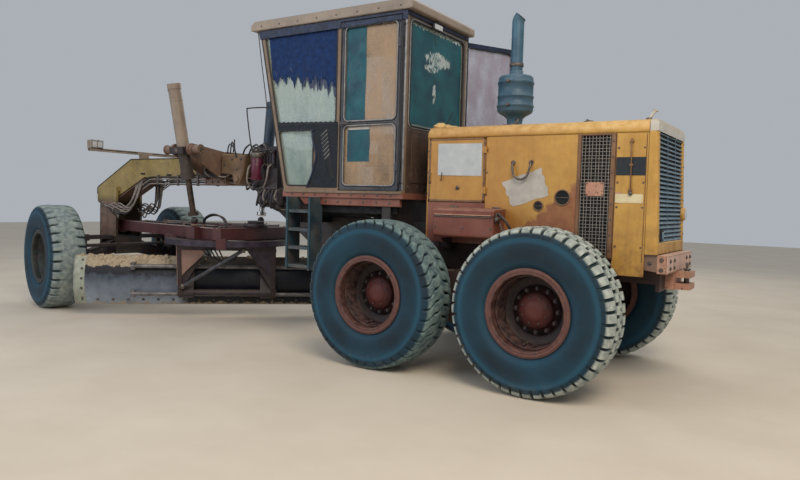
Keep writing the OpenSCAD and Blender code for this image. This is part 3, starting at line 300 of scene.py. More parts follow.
# front rims in near-black tones: painted shade on faces that turn down
rimDark = makeRimPaint("front_rim_paint_darkened_as_painted_shade", frontX, "262329", "15141a", "1f1c22")
print("paints made")

rubbers = {
    "blocks": makeRubber("sun_whitened_tread_rubber", "7d8782", "bac0b8", "2a3c42"),
    "diagonal": makeRubber("worn_teal_tread_rubber", "41585f", "7d918e", "1c3039"),
    "bars": makeRubber("dusty_tread_rubber", "67757a", "9ba69f", "25343a"),
}
glass = makeGlass("dusty_cab_glass", "9fb9b4", 0.45)
# extruded rubber: dull black with a soft sheen, greyed by dust
hose = plain("oily_hose_rubber", "18181d", "2c2a30", 30, 0.45, bump=0.5, dust=0.5)
hoseBright = plain("dusty_pale_hose", "736b65", "988f87", 30, 0.6, bump=0.5, dust=0.3)
sealRubber = plain("window_seal_rubber", "131419", "24262c", 25, 0.55, bump=0.3)
# bare steel: bright and mirror-like where it slides, grey and satin where earth or oil is on it
chrome = plain("ground_cylinder_rod", "9a9896", "c4c1bc", 60, 0.28, 0.9, 0.15, 1.5, 0.2)
worn = plain("earth_polished_steel", "5d5c60", "8e8c8c", 90, 0.42, 0.7, 0.4, 2.5, 0.35, "b29b7b")
bolt = plain("greasy_bolt_steel", "4a4442", "7a706a", 12, 0.45, 0.55, 0.3, 1.5, 0.4)
meshWire = plain("grille_wire_steel", "8b8580", "b5aea6", 20, 0.5, 0.5, 0.3, 1.5, 0.2)
# film, cloth, vinyl and paper: flat colours, matt, with almost no relief
tealFilm = plain("faded_teal_film", "053c4c", "0c5863", 160, 0.55, bump=0.2, dust=0.1)
denim = plain("navy_window_cloth", "01204a", "053064", 60, 0.9, bump=0.8, grain=2.0, dust=0.1)
vinyl = plain("worn_seat_vinyl", "262a31", "3b414a", 60, 0.55, bump=0.5, dust=0.3)
paleSheet = plain("bleached_paper_patch", "a9a49d", "bbb6ae", 90, 0.8, bump=0.3, dust=0.1)
# painted sheet and plates: smooth, half matt, blank
magenta = plain("magenta_accumulator_paint", "43091f", "5f1438", bump=0.2, rough=0.4)
whiteSign = plain("weathered_white_sign", "a9b0b4", "bfc3c3", 120, bump=0.2, dust=0.1)
blackPlate = plain("scratched_black_plate", "151b21", "222a31", 60, 0.45, bump=0.2, dust=0.1)
# near black for insides of openings and the cab's underside: painted shade, with soot in the exhaust
sootAndShadeBlack = plain("near_black_soot_and_painted_shade", "08090b", "14151a", 80, 0.8, dust=0.15)
lampGlass = plain("ribbed_lamp_glass", "a8adb2", "d0d2d4", 15, 0.2, bump=0.3, dust=0.2)
print("materials made")


class Shape:
    # Collects faces of one piece, then makes the object.

    def __init__(self):
        self.verts = []
        self.faces = []
        self.marks = []
        self.smooth = []
        self.count = 0
        self.matrix = Matrix.Identity(4)

    def add(self, verts, faces, mark=0, smooth=False):
        verts = np.asarray(verts, float)
        if self.matrix != Matrix.Identity(4):
            m = np.array(self.matrix)
            verts = verts @ m[:3, :3].T + m[:3, 3]
        self.verts.append(verts)
        self.faces += [tuple(i + self.count for i in f) for f in faces]
        self.marks += [mark] * len(faces)
        self.smooth += [smooth] * len(faces)
        self.count += len(verts)

    def box(self, a, b, r=0.004, mark=0):
        # Box between two corners with chamfered edges.
        a, b = np.minimum(a, b), np.maximum(a, b)
        r = min(r, *(0.45 * (b - a)))
        verts, faces, index = [], [], {}
        for corner in np.ndindex(2, 2, 2):
            for axis in range(3):
                p = [b[i] - r if corner[i] else a[i] + r for i in range(3)]
                p[axis] = b[axis] if corner[axis] else a[axis]
                index[corner, axis] = len(verts)
                verts.append(p)
        for axis in range(3):
            others = [i for i in range(3) if i != axis]
            for end in (0, 1):
                loop = []
                for s, t in ((0, 0), (1, 0), (1, 1), (0, 1)):
                    corner = [0, 0, 0]
                    corner[axis], corner[others[0]], corner[others[1]] = end, s, t
                    loop.append(index[tuple(corner), axis])
                faces.append(loop if (end == 1) == (axis != 1) else loop[::-1])
        for axis in range(3):
            others = [i for i in range(3) if i != axis]
            for s, t in np.ndindex(2, 2):
                ends = []
                for e in (0, 1):
                    corner = [0, 0, 0]
                    corner[axis], corner[others[0]], corner[others[1]] = e, s, t
                    ends.append(tuple(corner))
                loop = [index[ends[0], others[0]], index[ends[1], others[0]], index[ends[1], others[1]],
                        index[ends[0], others[1]]]
                faces.append(loop)
        for corner in np.ndindex(2, 2, 2):
            faces.append([index[corner, 0], index[corner, 1], index[corner, 2]])
        self.add(verts, self.outward(verts, faces), mark)

    @staticmethod
    def outward(verts, faces):
        # Turns the faces of a convex form outward.
        points = np.asarray(verts, float)
        middle = points.mean(0)
        turned = []
        for f in faces:
            p = points[list(f)]
            n = np.cross(p[1] - p[0], p[2] - p[0])
            turned.append(tuple(f) if np.dot(n, p.mean(0) - middle) >= 0 else tuple(f[::-1]))
        return turned

    def rod(self, a, b, r, mark=0, sides=16, chamfer=0.15, r2=None):
        # Round bar between two points, with chamfered ends.
        a, b = np.asarray(a, float), np.asarray(b, float)
        d = b - a
        length = np.linalg.norm(d)
        d /= length
        side = np.cross(d, [0, 0, 1]) if abs(d[2]) < 0.9 else np.cross(d, [1, 0, 0])
        side /= np.linalg.norm(side)
        up = np.cross(side, d)
        r2 = r if r2 is None else r2
        c = min(chamfer * min(r, r2), length * 0.3)
        rings = [(0, r - c), (c, r), (length - c, r2), (length, r2 - c)]
        turn = np.linspace(0, 2 * math.pi, sides, endpoint=False)
        verts = [a + d * s + (side * math.cos(t) + up * math.sin(t)) * q for s, q in rings for t in turn]
        faces = [(k * sides + i, k * sides + (i + 1) % sides, (k + 1) * sides + (i + 1) % sides,
                  (k + 1) * sides + i) for k in range(3) for i in range(sides)]
        self.add(verts, [f[::-1] for f in faces], mark, True)
        self.add(verts, [tuple(range(sides)), tuple(range(4 * sides - 1, 3 * sides - 1, -1))], mark)

    def nut(self, at, normal, r=0.014, h=0.01, mark=0):
        # Hexagonal head with a washer.
        at, n = np.asarray(at, float), np.asarray(normal, float)
        n = n / np.linalg.norm(n)
        self.rod(at, at + n * h * 0.25, r * 1.35, mark, 12)
        self.rod(at + n * h * 0.2, at + n * h, r, mark, 6, 0.2)

    def lathe(self, profile, centre, axis, mark=0, sides=48, smooth=True, closed=False):
        # Turns (radius, height) pairs round an axis.
        centre, d = np.asarray(centre, float), np.asarray(axis, float)
        d = d / np.linalg.norm(d)
        side = np.cross(d, [0, 0, 1]) if abs(d[2]) < 0.9 else np.cross(d, [1, 0, 0])
        side /= np.linalg.norm(side)
        up = np.cross(side, d)
        turn = np.linspace(0, 2 * math.pi, sides, endpoint=False)
        ring = np.cos(turn)[:, None] * side + np.sin(turn)[:, None] * up
        verts = np.concatenate([centre + d * h + ring * r for r, h in profile])
        n = len(profile)
        faces = [(k * sides + i, (k + 1) % n * sides + i, (k + 1) % n * sides + (i + 1) % sides,
                  k * sides + (i + 1) % sides) for k in range(n if closed else n - 1) for i in range(sides)]
        self.add(verts, faces, mark, smooth)

    def tube(self, points, r, mark=0, sides=8, per=6, taper=None, caps=True):
        # Round tube along a smooth curve through the points.
        path = curve(points, per)
        tangent = np.gradient(path, axis=0)
        tangent /= np.linalg.norm(tangent, axis=1)[:, None]
        side = np.cross(tangent[0], [0, 0, 1]) if abs(tangent[0][2]) < 0.9 else np.cross(tangent[0],
                [1, 0, 0])
        verts = []
        turn = np.linspace(0, 2 * math.pi, sides, endpoint=False)
        for i, (p, t) in enumerate(zip(path, tangent)):
            side = side - t * np.dot(side, t)
            side /= np.linalg.norm(side)
            up = np.cross(t, side)
            q = r if taper is None else r + (taper - r) * i / (len(path) - 1)
            verts.append(p + q * (np.cos(turn)[:, None] * side + np.sin(turn)[:, None] * up))
        verts = np.concatenate(verts)
        faces = [(k * sides + i, k * sides + (i + 1) % sides, (k + 1) * sides + (i + 1) % sides,
                  (k + 1) * sides + i) for k in range(len(path) - 1) for i in range(sides)]
        self.add(verts, faces, mark, True)
        if caps:
            last = (len(path) - 1) * sides
            self.add(verts, [tuple(range(sides))[::-1], tuple(range(last, last + sides))], mark)

    def slab(self, outline, low, high, plane="xz", mark=0, r=0.003, smooth=False):
        # Outline carried across its plane, with chamfered rims.
        outline = np.asarray(outline, float)
        area = np.sum(outline[:, 0] * np.roll(outline[:, 1], -1) - np.roll(outline[:, 0], -1) * outline[:, 1])
        if area < 0:
            outline = outline[::-1]
        ahead = np.roll(outline, -1, 0) - outline
        ahead /= np.linalg.norm(ahead, axis=1)[:, None] + 1e-12
        behind = np.roll(ahead, 1, 0)
        inward = np.stack([-(ahead + behind)[:, 1], (ahead + behind)[:, 0]], 1)
        inward /= (np.linalg.norm(inward, axis=1)[:, None] + 1e-9)
        r = min(r, (high - low) * 0.4)
        inner = outline + inward * r
        n = len(outline)
        rings = [(inner, low), (outline, low + r), (outline, high - r), (inner, high)]
        verts = []
        for ring, h in rings:
            for p in ring:
                verts.append({"xz": (p[0], h, p[1]), "yz": (h, p[0], p[1]), "xy": (p[0], p[1], h)}[plane])
        faces = [(k * n + i, k * n + (i + 1) % n, (k + 1) * n + (i + 1) % n, (k + 1) * n + i)
                 for k in range(3) for i in range(n)]
        ends = [tuple(range(n))[::-1], tuple(range(3 * n, 4 * n))]
        if plane == "xz":
            faces, ends = [f[::-1] for f in faces], [f[::-1] for f in ends]
        self.add(verts, faces, mark, smooth)
        self.add(verts, ends, mark)

    def grid(self, points, mark=0, smooth=True, wrapU=False, wrapV=False, flip=False):
        # Surface through a grid of points, rows first.
        points = np.asarray(points, float)
        rows, cols = points.shape[:2]
        faces = []
        for i in range(rows if wrapU else rows - 1):
            for j in range(cols if wrapV else cols - 1):
                a, b = i * cols + j, i * cols + (j + 1) % cols
                c, d = (i + 1) % rows * cols + (j + 1) % cols, (i + 1) % rows * cols + j
                faces.append((a, b, c, d) if not flip else (a, d, c, b))
        self.add(points.reshape(-1, 3), faces, mark, smooth)

    def make(self, name, body, materials, replaces=(), extra=None):
        mesh = bpy.data.meshes.new(name)
        verts = np.concatenate(self.verts)
        mesh.from_pydata(verts.tolist(), [], self.faces)
        for m in materials:
            mesh.materials.append(m)
        mesh.polygons.foreach_set("material_index", self.marks)
        mesh.polygons.foreach_set("use_smooth", self.smooth)
        if extra:
            for key, values in extra.items():
                layer = mesh.attributes.new(key, "FLOAT", "POINT")
                layer.data.foreach_set("value", np.asarray(values, np.float32))
        mesh.validate()
        mesh.update()
        piece = bpy.data.objects.new(name, mesh)
        bpy.context.scene.collection.objects.link(piece)
        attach(piece, body)
        if replaces:
            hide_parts(*([replaces] if isinstance(replaces, str) else replaces))
        return piece


def thicken(piece, thickness):
    # Gives a single layer its wall, half to each side.
    wall = piece.modifiers.new("cloth thickness", "SOLIDIFY")
    wall.thickness, wall.offset = thickness, 0


def mergePoints(piece):
    # Closes poles and seams, and turns the faces outwards.
    work = bmesh.new()
    work.from_mesh(piece.data)
    bmesh.ops.remove_doubles(work, verts=work.verts, dist=0.0001)
    bmesh.ops.recalc_face_normals(work, faces=work.faces)
    work.to_mesh(piece.data)
    work.free()


def curve(points, per=6):
    # Points along a smooth curve through the given ones.
    p = np.asarray(points, float)
    if len(p) < 3:
        return np.linspace(p[0], p[-1], 3)
    p = np.concatenate([[2 * p[0] - p[1]], p, [2 * p[-1] - p[-2]]])
    out = []
    for i in range(1, len(p) - 2):
        for t in np.linspace(0, 1, per, endpoint=False):
            a, b, c, d = p[i - 1], p[i], p[i + 1], p[i + 2]
            bend, twist = 2 * a - 5 * b + 4 * c - d, 3 * b - a - 3 * c + d
            out.append(0.5 * ((2 * b) + (c - a) * t + bend * t**2 + twist * t**3))
    out.append(p[-2])
    return np.array(out)


# a rectangle with its corners turned by quarter circles, each cut in steps
def roundRect(x0, y0, x1, y1, r, steps=5):
    out = []
    for cx, cy, start in ((x1 - r, y1 - r, 0), (x0 + r, y1 - r, 90), (x0 + r, y0 + r, 180),
                          (x1 - r, y0 + r, 270)):
        for t in np.linspace(start, start + 90, steps + 1):
            out.append((cx + r * math.cos(math.radians(t)), cy + r * math.sin(math.radians(t))))
    return out


def dress(name, material):
    # Gives a CAD node its material.
    node = nodes[name]
    node.data.materials.clear()
    node.data.materials.append(material)


# an even step from 0 to 1 with level ends: 3t^2 - 2t^3
def smooth01(t):
    t = np.clip(t, 0, 1)
    return t * t * (3 - 2 * t)


tyre = {  # metres; the profile runs from the shoulder to the middle: radius, half width, depth of a groove
    "profile": [(0.592, 0.2185, 0.0), (0.606, 0.2155, 0.008), (0.622, 0.21, 0.018), (0.64, 0.201, 0.026),
                (0.655, 0.1885, 0.031), (0.6645, 0.172, 0.032), (0.6695, 0.15, 0.03), (0.6735, 0.11, 0.028),
                (0.675, 0.07, 0.026), (0.675, 0.035, 0.024), (0.675, 0.004, 0.024)],
    "wall": [(0.33, 0.1775), (0.35, 0.1778), (0.364, 0.1815), (0.371, 0.1905), (0.392, 0.2085),
             (0.425, 0.2185),
             (0.455, 0.2222), (0.5, 0.2225), (0.54, 0.2225), (0.56, 0.2222), (0.57, 0.22), (0.576, 0.2212),
             (0.5935, 0.2182)],
    "wallSteps": 176,
    "halfWidth": 0.2185,
}
treads = {  # lugs round the tyre, the groove's edges as shares of a lug, its inner end, its sweep in radians
    "bars": {"lugs": 34, "groove": (0.0, 0.08, 0.24, 0.32), "inner": (0.055, 0.14), "sweep": 0.015,
             "wave": 0.0, "paleFrom": 0.642},
    "diagonal": {"lugs": 40, "groove": (0.02, 0.09, 0.22, 0.29), "inner": (0.015, 0.06), "sweep": 0.17,
                 "wave": 0.022, "paleFrom": 0.642},
    "blocks": {"lugs": 44, "groove": (0.03, 0.06, 0.31, 0.34), "inner": None, "sweep": 0.0,
               "wave": 0.0, "paleFrom": 0.622},
}


def makeTyre(name, centre, side, steer, style):
    # Tread: radius = profile - depth x groove, on a grid whose rows follow the grooves' edges round the tyre.
    # The groove is a trapezoid wave of the angle, half a lug apart on the two halves of the width.
    # Walls: a profile turned round the axle.
    look = treads[style]
    profile = np.array(tyre["profile"])
    r, y, deep = (np.concatenate([column, sign * column[::-1]])
                  for column, sign in zip(profile.T, (1, -1, 1)))
    ramp = look["groove"]
    pitch = math.tau / look["lugs"]
    marks = sorted([*ramp, (ramp[0] + ramp[1]) / 2, (ramp[2] + ramp[3]) / 2])
    marks = np.array(marks + [0.4] + [m + 0.5 for m in marks] + [0.92])
    u = np.concatenate([(marks + k) * pitch for k in range(look["lugs"])])
    local = ((u / pitch)[:, None] % 1.0 + np.where(y >= 0, 0.0, 0.5)) % 1.0
    cut = np.interp(local, ramp, (0, 1, 1, 0), left=0, right=0)
    band = np.abs(y)[None, :]
    if look["inner"]:
        cut = cut * smooth01((band - look["inner"][0]) / (look["inner"][1] - look["inner"][0]))
    else:  # a third row of blocks down the middle, and a ring groove beside it
        middle = np.interp((local + 0.5) % 1.0, ramp, (0, 1, 1, 0), left=0, right=0)
        cut = np.where(band < 0.09, middle, cut)
        cut = np.maximum(cut, 0.75 * (np.abs(band - 0.07) < 0.01))
    across = band / tyre["halfWidth"]
    angle = u[:, None] + look["sweep"] * (across - 0.5) + look["wave"] * np.sin(across * 9.0)
    uneven = np.sin(u[:, None] * 7.3 + y * 31) * 0.0015
    radius = r - deep * cut + uneven * (1 - cut)
    turn = np.array(Matrix.Rotation(steer, 3, "Z"))

    def place(angle, radius, y):
        grid = np.broadcast_arrays(radius * np.cos(angle), y * side, radius * np.sin(angle))
        return np.stack(grid, -1) @ turn.T + np.array(centre)

    shape = Shape()
    shape.grid(place(angle, radius, y[None, :]), 0, style != "blocks", wrapU=True, flip=side > 0)
    pale = np.broadcast_to(smooth01((r - look["paleFrom"]) / 0.016), angle.shape)
    marked = {"tread": [pale.ravel()], "groove": [cut.ravel()], "ring": [np.zeros(angle.size)]}
    around = np.linspace(0, math.tau, tyre["wallSteps"], endpoint=False)[:, None]
    wallR, wallY = np.array(tyre["wall"]).T
    for k in (1, -1):
        shape.grid(place(around, wallR, wallY * k), 0, True, wrapU=True, flip=side * k < 0)
        # bands near the shoulder and the bead, where the rubber paints its walls paler as painted highlights
        ring = np.exp(-((wallR - 0.572) / 0.026) ** 2) + 0.45 * np.exp(-((wallR - 0.385) / 0.03) ** 2)
        for key, values in (("tread", 0 * ring), ("groove", 0 * ring), ("ring", ring)):
            marked[key].append(np.tile(values, tyre["wallSteps"]))
    extra = {key: np.concatenate(parts) for key, parts in marked.items()}
    return shape.make(f"treaded_tyre_{name}", f"wheel_{name}", [rubbers[style]],
                      f"tyre_{name}", extra)


fittings = {  # metres from the wheel's middle: radius and reach along the axle
    "face": 0.192,
    "lip": [(0.3, -0.03), (0.3, 0.001), (0.306, 0.006), (0.318, 0.006), (0.321, 0.002), (0.324, 0.006),
            (0.345, 0.005), (0.352, -0.004), (0.352, -0.012)],
    "well": [(0.296, 0.12), (0.29, 0.126), (0.284, 0.12), (0.28, -0.03), (0.268, -0.044), (0.2, -0.046)],
    "hub": [(0.205, -0.047), (0.205, -0.036), (0.15, -0.034), (0.15, -0.008), (0.144, 0.0), (0.118, 0.018),
            (0.08, 0.034), (0.074, 0.04), (0.03, 0.041), (0.001, 0.041)],
    "nuts": 12,
    "capScrews": 8,
}


def makeWheelFittings(name, centre, side, steer, rim):
    # Lock ring, well, hub cap, nuts and valve of one wheel: profiles turned round the axle, over the CAD rim
    shape = Shape()
    mirror = Matrix.Scale(side, 4, (0, 1, 0))
    shape.matrix = Matrix.Translation(centre) @ Matrix.Rotation(steer, 4, "Z") @ mirror
    out, middle, face = (0, 1, 0), (0, 0, 0), fittings["face"]
    shape.lathe([(r, face + h) for r, h in fittings["lip"]], middle, out, 0, 96)
    shape.lathe(fittings["well"], middle, out, 0, 96)
    shape.lathe(fittings["hub"], middle, out, 0, 64)
    rings = ((fittings["nuts"], 0, 0.178, -0.036, 0.016, 0.024),
             (fittings["capScrews"], 0.5, 0.108, 0.021, 0.008, 0.01))
    for count, start, reach, y, r, h in rings:
        for k in range(count):
            a = (k + start) * math.tau / count
            shape.nut((reach * math.cos(a), y, reach * math.sin(a)), out, r, h, 1)
    shape.tube([(0.06, -0.03, -0.265), (0.055, 0.03, -0.27), (0.045, 0.085, -0.262)], 0.006, 1)
    shape.rod((0.045, 0.085, -0.262), (0.044, 0.105, -0.26), 0.009, 1, 10)
    for a in (0.4, 2.5, 4.4):
        shape.nut((0.312 * math.cos(a), face + 0.004, 0.312 * math.sin(a)), out, 0.007, 0.006, 1)
    if side < 0:  # a mirror turns the faces inwards
        shape.faces = [f[::-1] for f in shape.faces]
    return shape.make(f"wheel_fittings_{name}", f"wheel_{name}", [rim, darkSteel])


wheels = []  # name, centre, side, steering turn, tread and paint of the rim
for sideName, side in (("left", 1), ("right", -1)):
    for place, x, style in (("rear", rearX, "blocks"), ("middle", middleX, "diagonal")):
        wheels.append((f"{place}_{sideName}", (x, side * wheelY, axleZ), side, 0.0, style, rimRed[x]))
    off = side * (wheelY - kingY)
    centre = (frontX - math.sin(steerRest) * off, side * kingY + math.cos(steerRest) * off, axleZ)
    wheels.append((f"front_{sideName}", centre, side, steerRest, "bars", rimDark))
for name, centre, side, steer, style, rim in wheels:
    makeTyre(name, centre, side, steer, style)
    makeWheelFittings(name, centre, side, steer, rim)
print("wheels made")


hood = {  # metres, as part.scad has them: doors and grilles are openings in the sides
    "y": 0.505, "skin": 0.006, "eaves": 2.121, "doorX": (-2.475, -1.885), "doorZ": (1.53, 2.115),
    "grilleX": (-3.6, -3.335), "grilleZ": (1.1, 2.105), "seams": (-3.6, -2.7), "wirePitch": 0.0285,
    "roofX": [-3.897, -3.893, -3.6, -3.3, -3.0, -2.7, -2.4, -2.1, -1.872, -1.868],
}


def makeHoodSkin():
    # Flat panels round the openings, and a roof: one half section of lip, round edge and crown, mirrored and
    # carried along the hood, with a slow wave in its crown
    shape = Shape()
    y, eaves = hood["y"], hood["eaves"]
    doorX, doorZ, grilleX, grilleZ = (hood[key] for key in ("doorX", "doorZ", "grilleX", "grilleZ"))
    for side in (1, -1):
        for x0, x1, z0, z1, mark in (
            (-1.8835, -1.868, hoodFoot, eaves, 0),
            (doorX[0] - 0.002, -1.885, hoodFoot, doorZ[0] - 0.004, 1 if side > 0 else 0),
            (grilleX[1] + 0.002, doorX[0] - 0.004, hoodFoot, eaves, 0),
            (-3.897, grilleX[0] - 0.038, hoodFoot - 0.185, eaves, 0),
            (grilleX[0] - 0.034, grilleX[1], hoodFoot - 0.06, grilleZ[0] - 0.002, 1),
            (doorX[0] - 0.002, -1.885, doorZ[1] + 0.003, eaves, 0),
        ):
            shape.box((x0, side * (y - hood["skin"]), z0), (x1, side * y, z1), 0.002, mark)
        # frame round the grille
        left, right = grilleX[0] - 0.036, grilleX[1] + 0.012
        for x0, x1, z0, z1, rise in ((left, grilleX[0], grilleZ[0], grilleZ[1] + 0.012, 0.008),
                                     (grilleX[1] - 0.016, right, grilleZ[0], grilleZ[1] + 0.012, 0.008),
                                     (left, right, grilleZ[1], eaves, 0.007)):
            shape.box((x0, side * (y - 0.012), z0), (x1, side * (y + rise), z1), 0.003, 4)
        for z in np.linspace(grilleZ[0] + 0.06, grilleZ[1] - 0.05, 8):
            shape.nut((grilleX[0] - 0.018, side * (y + 0.008), z), (0, side, 0), 0.007, 0.005, 3)
    half = [(y - hood["skin"], eaves), (0.5065, 2.1215), (0.5125, 2.127), (0.5135, 2.136)]
    half += [(0.4225 + 0.091 * math.cos(a), 2.139 + 0.091 * math.sin(a))
             for a in np.linspace(0.05, math.pi / 2, 10)]
    half += [(0.3, 2.2325), (0.15, 2.2345)]
    section = np.array(half + [(0.0, 2.235)] + [(-p[0], p[1]) for p in reversed(half)])
    x = np.array(hood["roofX"])[:, None]
    pinch = 0.003 * ((x == hood["roofX"][0]) | (x == hood["roofX"][-1]))
    wave = 0.0015 * np.sin(x * 9) * (np.abs(section[:, 0]) < 0.4)
    rows = np.stack(np.broadcast_arrays(x, section[:, 0] * (1 - pinch), section[:, 1] - pinch + wave), -1)
    shape.grid(rows, 0)
    # underside of the roof in near black: painted shade
    inner = [[(x, p[0] * 0.985, p[1] - 0.006) for p in section] for x in (-3.893, -1.874)]
    shape.grid(inner, 2, flip=True)
    # front wall, seams over the roof and its screws
    shape.slab([(-0.498, hoodFoot), (0.498, hoodFoot), (0.498, 2.13), (0.42, 2.22), (-0.42, 2.22),
                (-0.498, 2.13)], -1.874, -1.868, "yz", 0, 0.002)
    for x in hood["seams"]:
        shape.grid([[(x + dx, p[0] * 1.001, p[1] + h) for p in section[4:-4]]
                    for dx, h in ((-0.014, 0.0002), (-0.011, 0.0028), (0.011, 0.0028), (0.014, 0.0002))], 0)
    for x in (-3.52, -3.15, -2.9, -2.62, -2.2):
        for y in (0.36, -0.36):
            shape.nut((x, y, 2.2305), (0, 0, 1), 0.01, 0.008, 3)
    return shape.make("hood_skin", "rear_frame",
                      [hoodPaint, redBrown, sootAndShadeBlack, bolt, lineBrown], "hood")


def makeGrille():
    # Woven wire over a near-black sheet that is painted shade: upright and level wires, each bowed by a small
    # sine of its place
    shape = Shape()
    (x0, x1), (z0, z1), pitch = hood["grilleX"], hood["grilleZ"], hood["wirePitch"]
    for side in (1, -1):
        y = side * 0.503
        shape.box((x0, side * 0.462, z0), (x1 - 0.014, side * 0.468, z1), 0.001, 1)
        for x in np.arange(x0 + 0.012, x1 - 0.02, pitch):
            bow = 0.0035 * math.sin(x * 130)
            shape.tube([(x, y, z0), (x + bow, y + side * 0.002, 1.45), (x - bow, y, 1.8), (x, y, z1)], 0.0024,
                       0, 6, 3)
        for z in np.arange(z0 + 0.015, z1, pitch):
            bow = 0.003 * math.sin(z * 90)
            shape.tube([(x0, y, z), ((x0 + x1) / 2, y + side * 0.003, z + bow), (x1 - 0.014, y, z)], 0.0022,
                       0, 6, 3)
    shape.box((-3.551, 0.5, 1.606), (-3.4, 0.5085, 1.722), 0.002, 2)
    for x in (-3.54, -3.412):
        for z in (1.618, 1.71):
            shape.nut((x, 0.5085, z), (0, 1, 0), 0.005, 0.003, 3)
    return shape.make("hood_grille_mesh", "rear_frame", [meshWire, sootAndShadeBlack, pinkRust, bolt])


def makeHoodFittings():
    # Paper patch, handles, screws and strips on the hood's side, each set at its measured place
    shape = Shape()
    y = 0.505
    # paper patch with worn, lifted edges
    a, b = np.array([-2.644, 1.716]), np.array([-3.005, 1.839])
    c, d = np.array([-3.087, 1.608]), np.array([-2.749, 1.496])
    rows = []
    for s in np.linspace(0, 1, 15):
        row = []
        for t in np.linspace(0, 1, 15):
            p = (a * (1 - t) + b * t) * (1 - s) + (d * (1 - t) + c * t) * s
            rim = min(s, t, 1 - s, 1 - t)
            wob = 0.006 * math.sin(17 * s + 11 * t) * (rim < 0.01)
            row.append((p[0] + wob, y + 0.0012 + 0.0018 * (rim < 0.01) * abs(math.sin(7 * s + 5 * t)),
                        p[1] - wob))
        rows.append(row)
    shape.grid(rows, 0)
    # U-shaped handle
    shape.tube([(-2.745, y + 0.004, 1.886), (-2.748, y + 0.026, 1.85), (-2.77, y + 0.032, 1.77),
                (-2.828, y + 0.034, 1.738), (-2.885, y + 0.032, 1.768), (-2.908, y + 0.026, 1.835),
                (-2.912, y + 0.004, 1.888)], 0.01, 1, 10)
    for x in (-2.745, -2.912):
        shape.lathe([(0.022, 0), (0.022, 0.003), (0.016, 0.006), (0.001, 0.006)], (x, y, 1.886), (0, 1, 0), 1,
                    20)
    shape.rod((-2.912, y + 0.004, 1.888), (-2.93, y + 0.02, 1.905), 0.009, 1, 10)
    # two round ports with rolled rims, near black inside as painted shade
    for x, z, r in ((-2.991, 1.512, 0.036), (-3.203, 1.588, 0.06)):
        shape.lathe([(r + 0.013, 0.0), (r + 0.01, 0.005), (r + 0.003, 0.007), (r, 0.003), (r * 0.97, -0.01)],
                    (x, y, z), (0, 1, 0), 2, 40)
        shape.lathe([(r * 0.98, 0.002), (r * 0.6, -0.0), (0.001, -0.0)], (x, y + 0.0012, z), (0, 1, 0), 3, 40)
        shape.rod((x - r * 0.9, y + 0.002, z), (x + r * 0.9, y + 0.002, z), 0.003, 1, 8)
    # rear side door: outline bead, rod latch, bare plate and pale strip
    for x0, x1, z0, z1 in ((-3.646, -3.64, 1.08, 2.11), (-3.884, -3.878, 1.08, 2.11)):
        shape.box((x0, y - 0.002, z0), (x1, y + 0.0035, z1), 0.002, 2)
    shape.rod((-3.77, y + 0.01, 1.64), (-3.764, y + 0.01, 2.075), 0.0055, 2, 8)
    for z in (1.66, 1.86, 2.05):
        shape.box((-3.782, y, z - 0.01), (-3.752, y + 0.016, z + 0.01), 0.003, 2)
    shape.lathe([(0.016, 0), (0.016, 0.014), (0.01, 0.018), (0.001, 0.018)], (-3.77, y, 1.632), (0, 1, 0), 1,
                20)
    shape.slab(roundRect(-3.884, 1.778, -3.646, 1.925, 0.006), y + 0.0002, y + 0.003, "xz", 4, 0.001)
    shape.slab(roundRect(-3.868, 1.556, -3.648, 1.628, 0.004), y + 0.0002, y + 0.0022, "xz", 5, 0.001)
    shape.slab(roundRect(-3.7, 1.552, -3.646, 1.64, 0.004), y + 0.0002, y + 0.0018, "xz", 6, 0.001)
    for z in (1.2, 1.52, 1.72, 2.0):
        shape.nut((-3.662, y, z), (0, 1, 0), 0.007, 0.006, 1)
        shape.nut((-3.866, y, z), (0, 1, 0), 0.006, 0.005, 1)
    # hinges and catches round the front door
    for z in (1.6, 1.8, 2.0):
        shape.nut((-2.49, y, z), (0, 1, 0), 0.007, 0.006, 1)
        shape.nut((-1.876, y, z), (0, 1, 0), 0.005, 0.005, 1)
    shape.tube([(-1.905, 0.512, 1.8), (-1.899, 0.524, 1.77), (-1.902, 0.522, 1.72), (-1.91, 0.512, 1.7)],
               0.006, 1)
    # fittings on the roof: filler bracket, cap and a thin pipe
    shape.rod((-3.83, 0.26, 2.232), (-3.83, 0.26, 2.262), 0.028, 1, 20)
    shape.rod((-3.83, 0.26, 2.258), (-3.862, 0.2, 2.33), 0.014, 7, 12)
    shape.box((-3.885, 0.175, 2.318), (-3.842, 0.215, 2.34), 0.004, 7)
    shape.lathe([(0.045, 0), (0.045, 0.028), (0.038, 0.034), (0.001, 0.036)], (-3.3, 0.18, 2.234), (0, 0, 1),
                1, 28)
    shape.rod((-3.3, 0.12, 2.272), (-3.3, 0.24, 2.272), 0.006, 1, 8)
    shape.tube([(-3.7, -0.16, 2.242), (-3.3, -0.12, 2.262), (-2.95, -0.11, 2.26), (-2.7, -0.1, 2.246),
                (-2.2, -0.1, 2.242)], 0.009, 1, 8)
    for x in (-3.55, -2.95, -2.35):
        shape.box((x - 0.012, -0.14, 2.232), (x + 0.012, -0.085, 2.262), 0.004, 1)
    shape.box((-2.66, 0.2, 2.232), (-2.5, 0.235, 2.262), 0.004, 1)
    shape.tube([(-2.62, 0.22, 2.26), (-2.64, 0.2, 2.3), (-2.6, 0.14, 2.31), (-2.58, 0.12, 2.25)], 0.01, 1)
    return shape.make("hood_fittings", "rear_frame",
                      [paleSheet, bolt, lineBrown, sootAndShadeBlack, blackPlate, creamStrip, pinkRust, palePaint])


